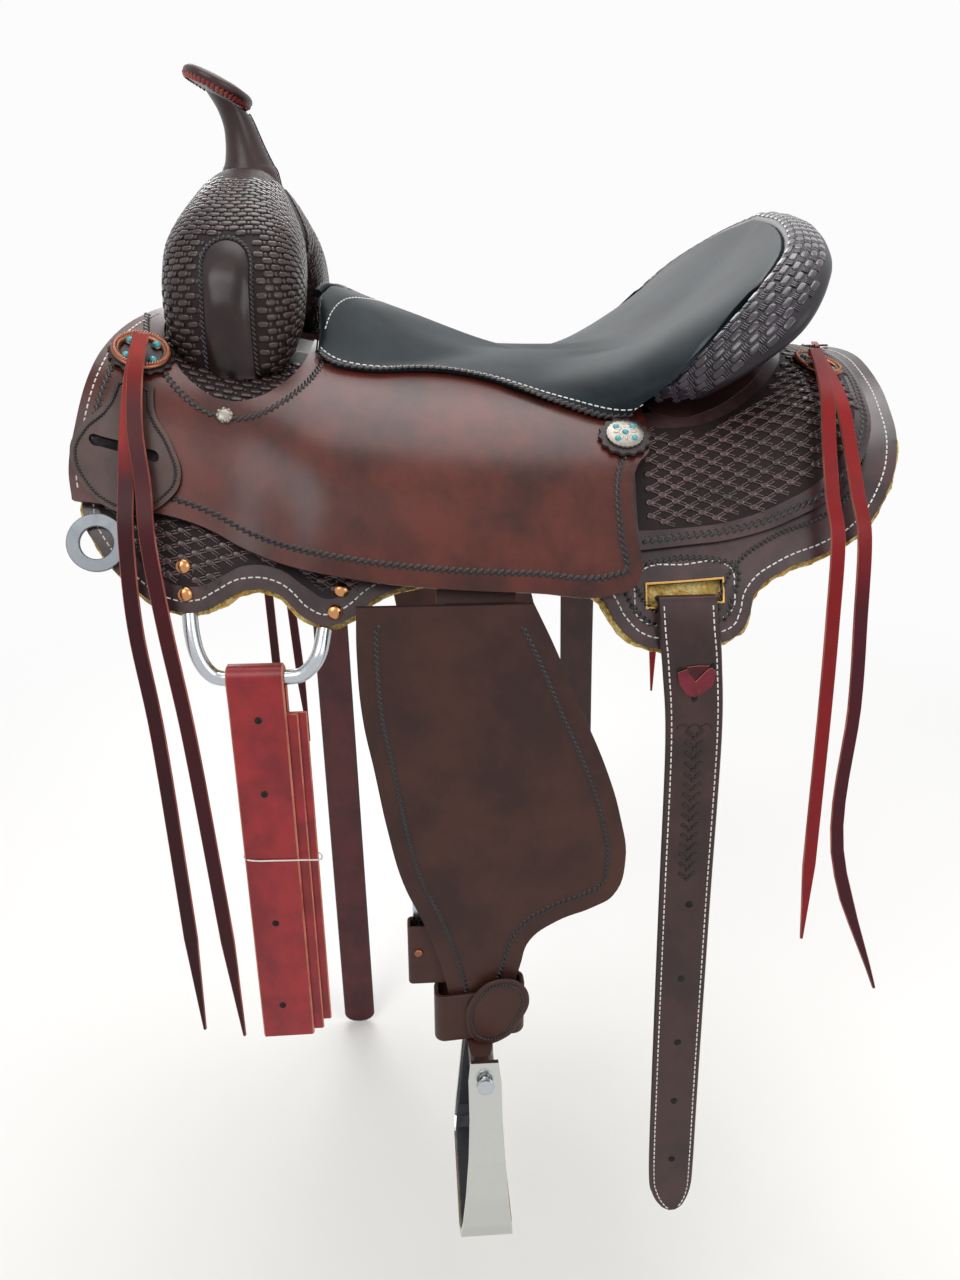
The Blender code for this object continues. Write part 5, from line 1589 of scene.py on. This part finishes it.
def build_hardware(tag, side):
    """The rigging dee, the stirrup with its leather, and the conchos."""
    low = (
        (-0.2755, 0.2605, -0.1260), (-0.2720, 0.2660, -0.1400), (-0.2655, DEE_Y, -0.1520), (-0.2560, DEE_Y, DEE_Z),
        (-0.2300, DEE_Y, DEE_Z), (-0.2060, DEE_Y, DEE_Z), (-0.1960, DEE_Y, -0.1525), (-0.1885, 0.2662, -0.1420),
    )
    dee = smooth_path([wrap(-0.2770, 0.3150, 0.0135), *low, wrap(-0.1850, 0.3108, 0.0135)], 61)
    tube(f"rigging dee bar {tag}", mirrored(dee, side), 0.0054, "steel", f"rigging_dee_{tag}")
    for piece, mat, bevel in PLAIN_PIECES:
        finish(f"{piece}_{tag}", mat, bevel)
    build_conchos(tag, side)
    build_breast_dee(tag, side)


def finish(node, mat, bevel):
    """A CAD node shown as it is, with its own material and softly rounded edges."""
    obj = nodes[node]
    obj.data.materials.clear()
    obj.data.materials.append(M[mat])
    if bevel:
        weld = obj.modifiers.new("joined faces", "WELD")
        weld.merge_threshold = 1e-5
        round_edges(obj, bevel, 40)


def disc_rings(base, normal, profile, around=80, petals=0, depth=0.0):
    """Rings of a round piece on a surface; a profile of (radius, height, whether its edge is scalloped)."""
    side_way = (Vector((1, 0, 0)) - normal * normal.x).normalized()
    up = normal.cross(side_way)
    rings = []
    for r, height, scalloped in profile:
        ring = []
        for angle in full_turn(around):
            reach = r * (1 + scalloped * depth * math.cos(petals * angle))
            ring.append(base + (side_way * math.cos(angle) + up * math.sin(angle)) * reach + normal * height)
        rings.append(ring)
    return rings


def disc(name, at, profile, mat, node=None, hollow=False, sharp=60, **shape):
    """A round piece at a (base, normal), solid or a ring."""
    return make(name, loft_mesh(disc_rings(*at, profile, **shape), hollow), mat, node, sharp=sharp)


def around_disc(base, normal, radius, height, count, turn=0.0):
    """Spots evenly round a disc, with its normal."""
    ring = disc_rings(base, normal, [(radius, height, 0)], count)[0]
    spin = Matrix.Rotation(turn, 3, normal)
    return [(base + spin @ (p - base), normal) for p in ring]


ROSETTE = ((0.0205, 0, 1), (0.0222, 0.0004, 1), (0.0216, 0.0014, 1), (0.0150, 0.0018, 0), (0.0040, 0.0018, 0))
CONCHO_RING = (
    (0.0140, 0.0019, 0), (0.0196, 0.0019, 0), (0.0205, 0.0028, 0), (0.0203, 0.0042, 0), (0.0192, 0.0052, 0),
    (0.0172, 0.0054, 0), (0.0152, 0.0046, 0), (0.0140, 0.0034, 0),
)
SEAT_ROSETTE = ((0.0172, 0, 1), (0.0186, 0.0006, 1), (0.0180, 0.0024, 1), (0.0130, 0.0030, 0), (0.0040, 0.0030, 0))
SEAT_DISC = ((0.0120, 0.0031, 0), (0.0135, 0.0034, 1), (0.0133, 0.0046, 1), (0.0100, 0.0056, 0), (0.0030, 0.0060, 0))
BREAST_RING = (
    (0.0118, -0.0017, 0), (0.0194, -0.0017, 0), (0.0200, -0.0011, 0), (0.0200, 0.0011, 0), (0.0194, 0.0017, 0),
    (0.0118, 0.0017, 0), (0.0112, 0.0011, 0), (0.0112, -0.0011, 0),
)


def build_conchos(tag, side):
    """Round conchos with turquoise stones, set on scalloped leather rosettes."""
    for node, place, x, s, h in (
        ("front_concho", on_back(jockey_in, side), -0.309, 0.160, JOCKEY + 0.0012),
        ("rear_concho", on_back(rear_jockey_in, side), 0.202, 0.118, REAR_JOCKEY + 0.0012),
    ):
        at = spot(place, x, s, h)
        disc(f"{node} rosette {tag}", at, ROSETTE, "edge", f"{node}_{tag}", around=96, petals=16, depth=0.045)
        disc(f"{node} ring {tag}", at, CONCHO_RING, "copper", hollow=True)
        circle = disc_rings(*at, [(0.0180, 0.0053, 0)], 72)[0]
        run = (circle + circle[:1], [at[1]] * 73)
        rope = {"length": 0.0032, "gap": -0.0012, "width": 0.0022, "height": 0.0011, "skew": 0.7}
        rows_of(f"{node} rope rim {tag}", [run], "copper", **rope)
        stones = around_disc(*at, 0.0125, 0.0030, 4, math.pi / 4)
        domes(f"{node} stones {tag}", stones, 0.0031, 0.0030, "turquoise")
        cups = [(p - n * 0.0006, n) for p, n in stones]
        domes(f"{node} stone cups {tag}", cups, 0.0037, 0.0016, "copper")
    at = base, normal = spot(on_back(jockey_in, side), 0.033, 0.187, JOCKEY + 0.0010)
    disc(f"seat_concho rosette {tag}", at, SEAT_ROSETTE, "edge", f"seat_concho_{tag}", around=96, petals=14, depth=0.05)
    disc(f"seat_concho disc {tag}", at, SEAT_DISC, "silver", around=96, petals=24, depth=0.02)
    petals = []
    for point, out in around_disc(*at, 0.0060, 0.0052, 12):
        along = (point - base - out * 0.0052).normalized()
        petals.append((point, along, out.cross(along), out))
    stamps(f"seat_concho petals {tag}", petals, [raised(0.0052, 0.0018, 0.0009)], "silver")
    stones = around_disc(*at, 0.0084, 0.0050, 4, math.pi / 4) + [(base + normal * 0.0056, normal)]
    domes(f"seat_concho stones {tag}", stones, 0.0024, 0.0020, "turquoise")


def build_breast_dee(tag, side):
    """The loose ring that a breast collar is buckled to."""
    at = spot(on_back(SKIRT_IN, side), -0.336, 0.2815, SKIRT + 0.0026)
    disc(f"breast dee ring {tag}", at, BREAST_RING, "nickel", f"breast_dee_{tag}", hollow=True, sharp=40)


def build_keeper():
    """The near side's shield-shaped keeper, whose slot holds the latigo's end."""
    place = on_back(lambda x, s: jockey_out(x, s) + LAYER_GAP, -1)
    edge = outline(KEEPER_EDGE)
    loops = [edge, outline(KEEPER_SLOT, 3)]
    leather("latigo keeper leather", loops, place, KEEPER, ["keeper", "edge"], "latigo_keeper_near", step=0.02)
    leather("keeper slot shade", [outline(SLOT_SHADE, 1)], lifted(place, -0.0003), 0.0006, ["hole"], bevel=0.0)
    rope_line("keeper edge line", [run_on(place, inset(edge, 0.0035), KEEPER, closed=True)], size=0.5)


def build_rear_lacing():
    """Crossed latigo lace that draws the two skirts together behind the cantle."""
    lace = []
    for k in range(4):
        x = 0.228 + 0.0095 * k
        lace.append(Vector((x, -0.013 if k % 2 else 0.013, 0.0175 + BACK_ROCKER * x * x)))
    for k, flip in enumerate((1, -1)):
        path = smooth_path([(p.x, p.y * flip, p.z + 0.0012 * k) for p in lace], 31)
        strap(f"rear lace {k}", path, 0.0060, 0.0016, ["string", "dark_string"])


build_seat()
build_cantle()
swell = build_swell()
build_tongue(swell)
build_swell_stamping(swell)
build_horn()
build_keeper()
build_latigo()
build_off_billet()
build_rear_lacing()
for tag, side in SIDES:
    build_skirts(tag, side)
    build_jockeys(tag, side)
    build_fender(tag, side)
    build_rear_billet(tag, side)
    build_strings(tag, side)
    build_hardware(tag, side)
for node, mat in (("ground_seat", "ground"), ("cantle_board", "smooth"), ("cantle_back", "smooth")):
    finish(node, mat, 0.0)

# Floor, light and camera


def seen_share(tree):
    """1 for rays from the camera and for those that a gloss or glass sends on, else 0."""
    path = add(tree, "LightPath")
    kinds = [path.outputs[f"Is {kind} Ray"] for kind in ("Camera", "Glossy", "Transmission")]
    either = add(tree, "Math", operation="MAXIMUM", _0=kinds[0], _1=kinds[1]).outputs["Value"]
    return add(tree, "Math", operation="MAXIMUM", _0=either, _1=kinds[2]).outputs["Value"]


def build_stage():
    """A pale floor that turns to white with distance, four soft lamps and a pale world."""
    floor_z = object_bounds()[0][2] - 0.002
    bpy.ops.mesh.primitive_plane_add(size=14, location=(0, 0, floor_z))
    floor = bpy.context.object
    mat, tree, shader = new_material("pale studio floor", Roughness=0.9)
    shader.inputs["Base Color"].default_value = linear("#f2f1ef")
    place = add(tree, "TexCoord").outputs["Object"]
    reach = add(tree, "VectorMath", operation="LENGTH", _0=place)
    far = add(tree, "MapRange", Value=reach.outputs["Value"], _1=0.9, _2=2.6, interpolation_type="SMOOTHSTEP")
    white = add(tree, "Emission", Color=linear("#fcfcfc"), Strength=1.0)
    share = add(tree, "Math", operation="MULTIPLY", _0=seen_share(tree), _1=far.outputs["Result"])
    blend = add(tree, "MixShader", _0=share.outputs["Value"], _1=shader.outputs["BSDF"], _2=white.outputs["Emission"])
    tree.links.new(blend.outputs["Shader"], tree.nodes["Material Output"].inputs["Surface"])
    floor.data.materials.append(mat)
    for name, place, aim, size, power in (
        ("key softbox", (-1.5, -2.6, 2.6), (0, 0, -0.1), 2.2, 52),
        ("fill softbox", (2.2, -2.4, 1.4), (0, 0, -0.2), 2.0, 30),
        ("top softbox", (0.2, 0.6, 2.8), (0, 0, 0), 2.4, 50),
        ("back softbox", (-0.6, 2.8, 1.6), (0, 0, -0.1), 2.0, 36),
    ):
        data = bpy.data.lights.new(name, "AREA")
        data.shape = "DISK"
        data.size = size
        data.energy = power
        lamp = bpy.data.objects.new(name, data)
        lamp.location = place
        lamp.rotation_euler = (Vector(aim) - Vector(place)).to_track_quat("-Z", "Y").to_euler()
        bpy.context.scene.collection.objects.link(lamp)
    world = bpy.data.worlds.new("pale studio")
    world.use_nodes = True
    tree = world.node_tree
    glow = tree.nodes["Background"]
    glow.inputs["Color"].default_value = linear("#f4f5f7")
    glow.inputs["Strength"].default_value = 0.5
    shown = add(tree, "Background", Color=linear("#fcfcfc"), Strength=1.0)
    blend = add(tree, "MixShader", _0=seen_share(tree), _1=glow.outputs["Background"], _2=shown.outputs["Background"])
    tree.links.new(blend.outputs["Shader"], tree.nodes["World Output"].inputs["Surface"])
    bpy.context.scene.world = world
    bpy.context.scene.view_settings.view_transform = "Standard"


def set_camera():
    """The photograph's camera: close by, at the seat's height and a little in front, tilted down."""
    yaw, pitch = math.radians(4), math.radians(20)
    look = Vector((math.sin(yaw) * math.cos(pitch), math.cos(yaw) * math.cos(pitch), -math.sin(pitch)))
    data = bpy.data.cameras.new("photo camera")
    data.lens = 27
    data.sensor_width = 36
    data.sensor_fit = "AUTO"
    data.clip_start = 0.01
    camera = bpy.data.objects.new("photo camera", data)
    camera.location = (-0.12, -0.90, 0.097)
    camera.rotation_euler = look.to_track_quat("-Z", "Y").to_euler()
    bpy.context.scene.collection.objects.link(camera)
    bpy.context.scene.camera = camera


build_stage()
set_camera()
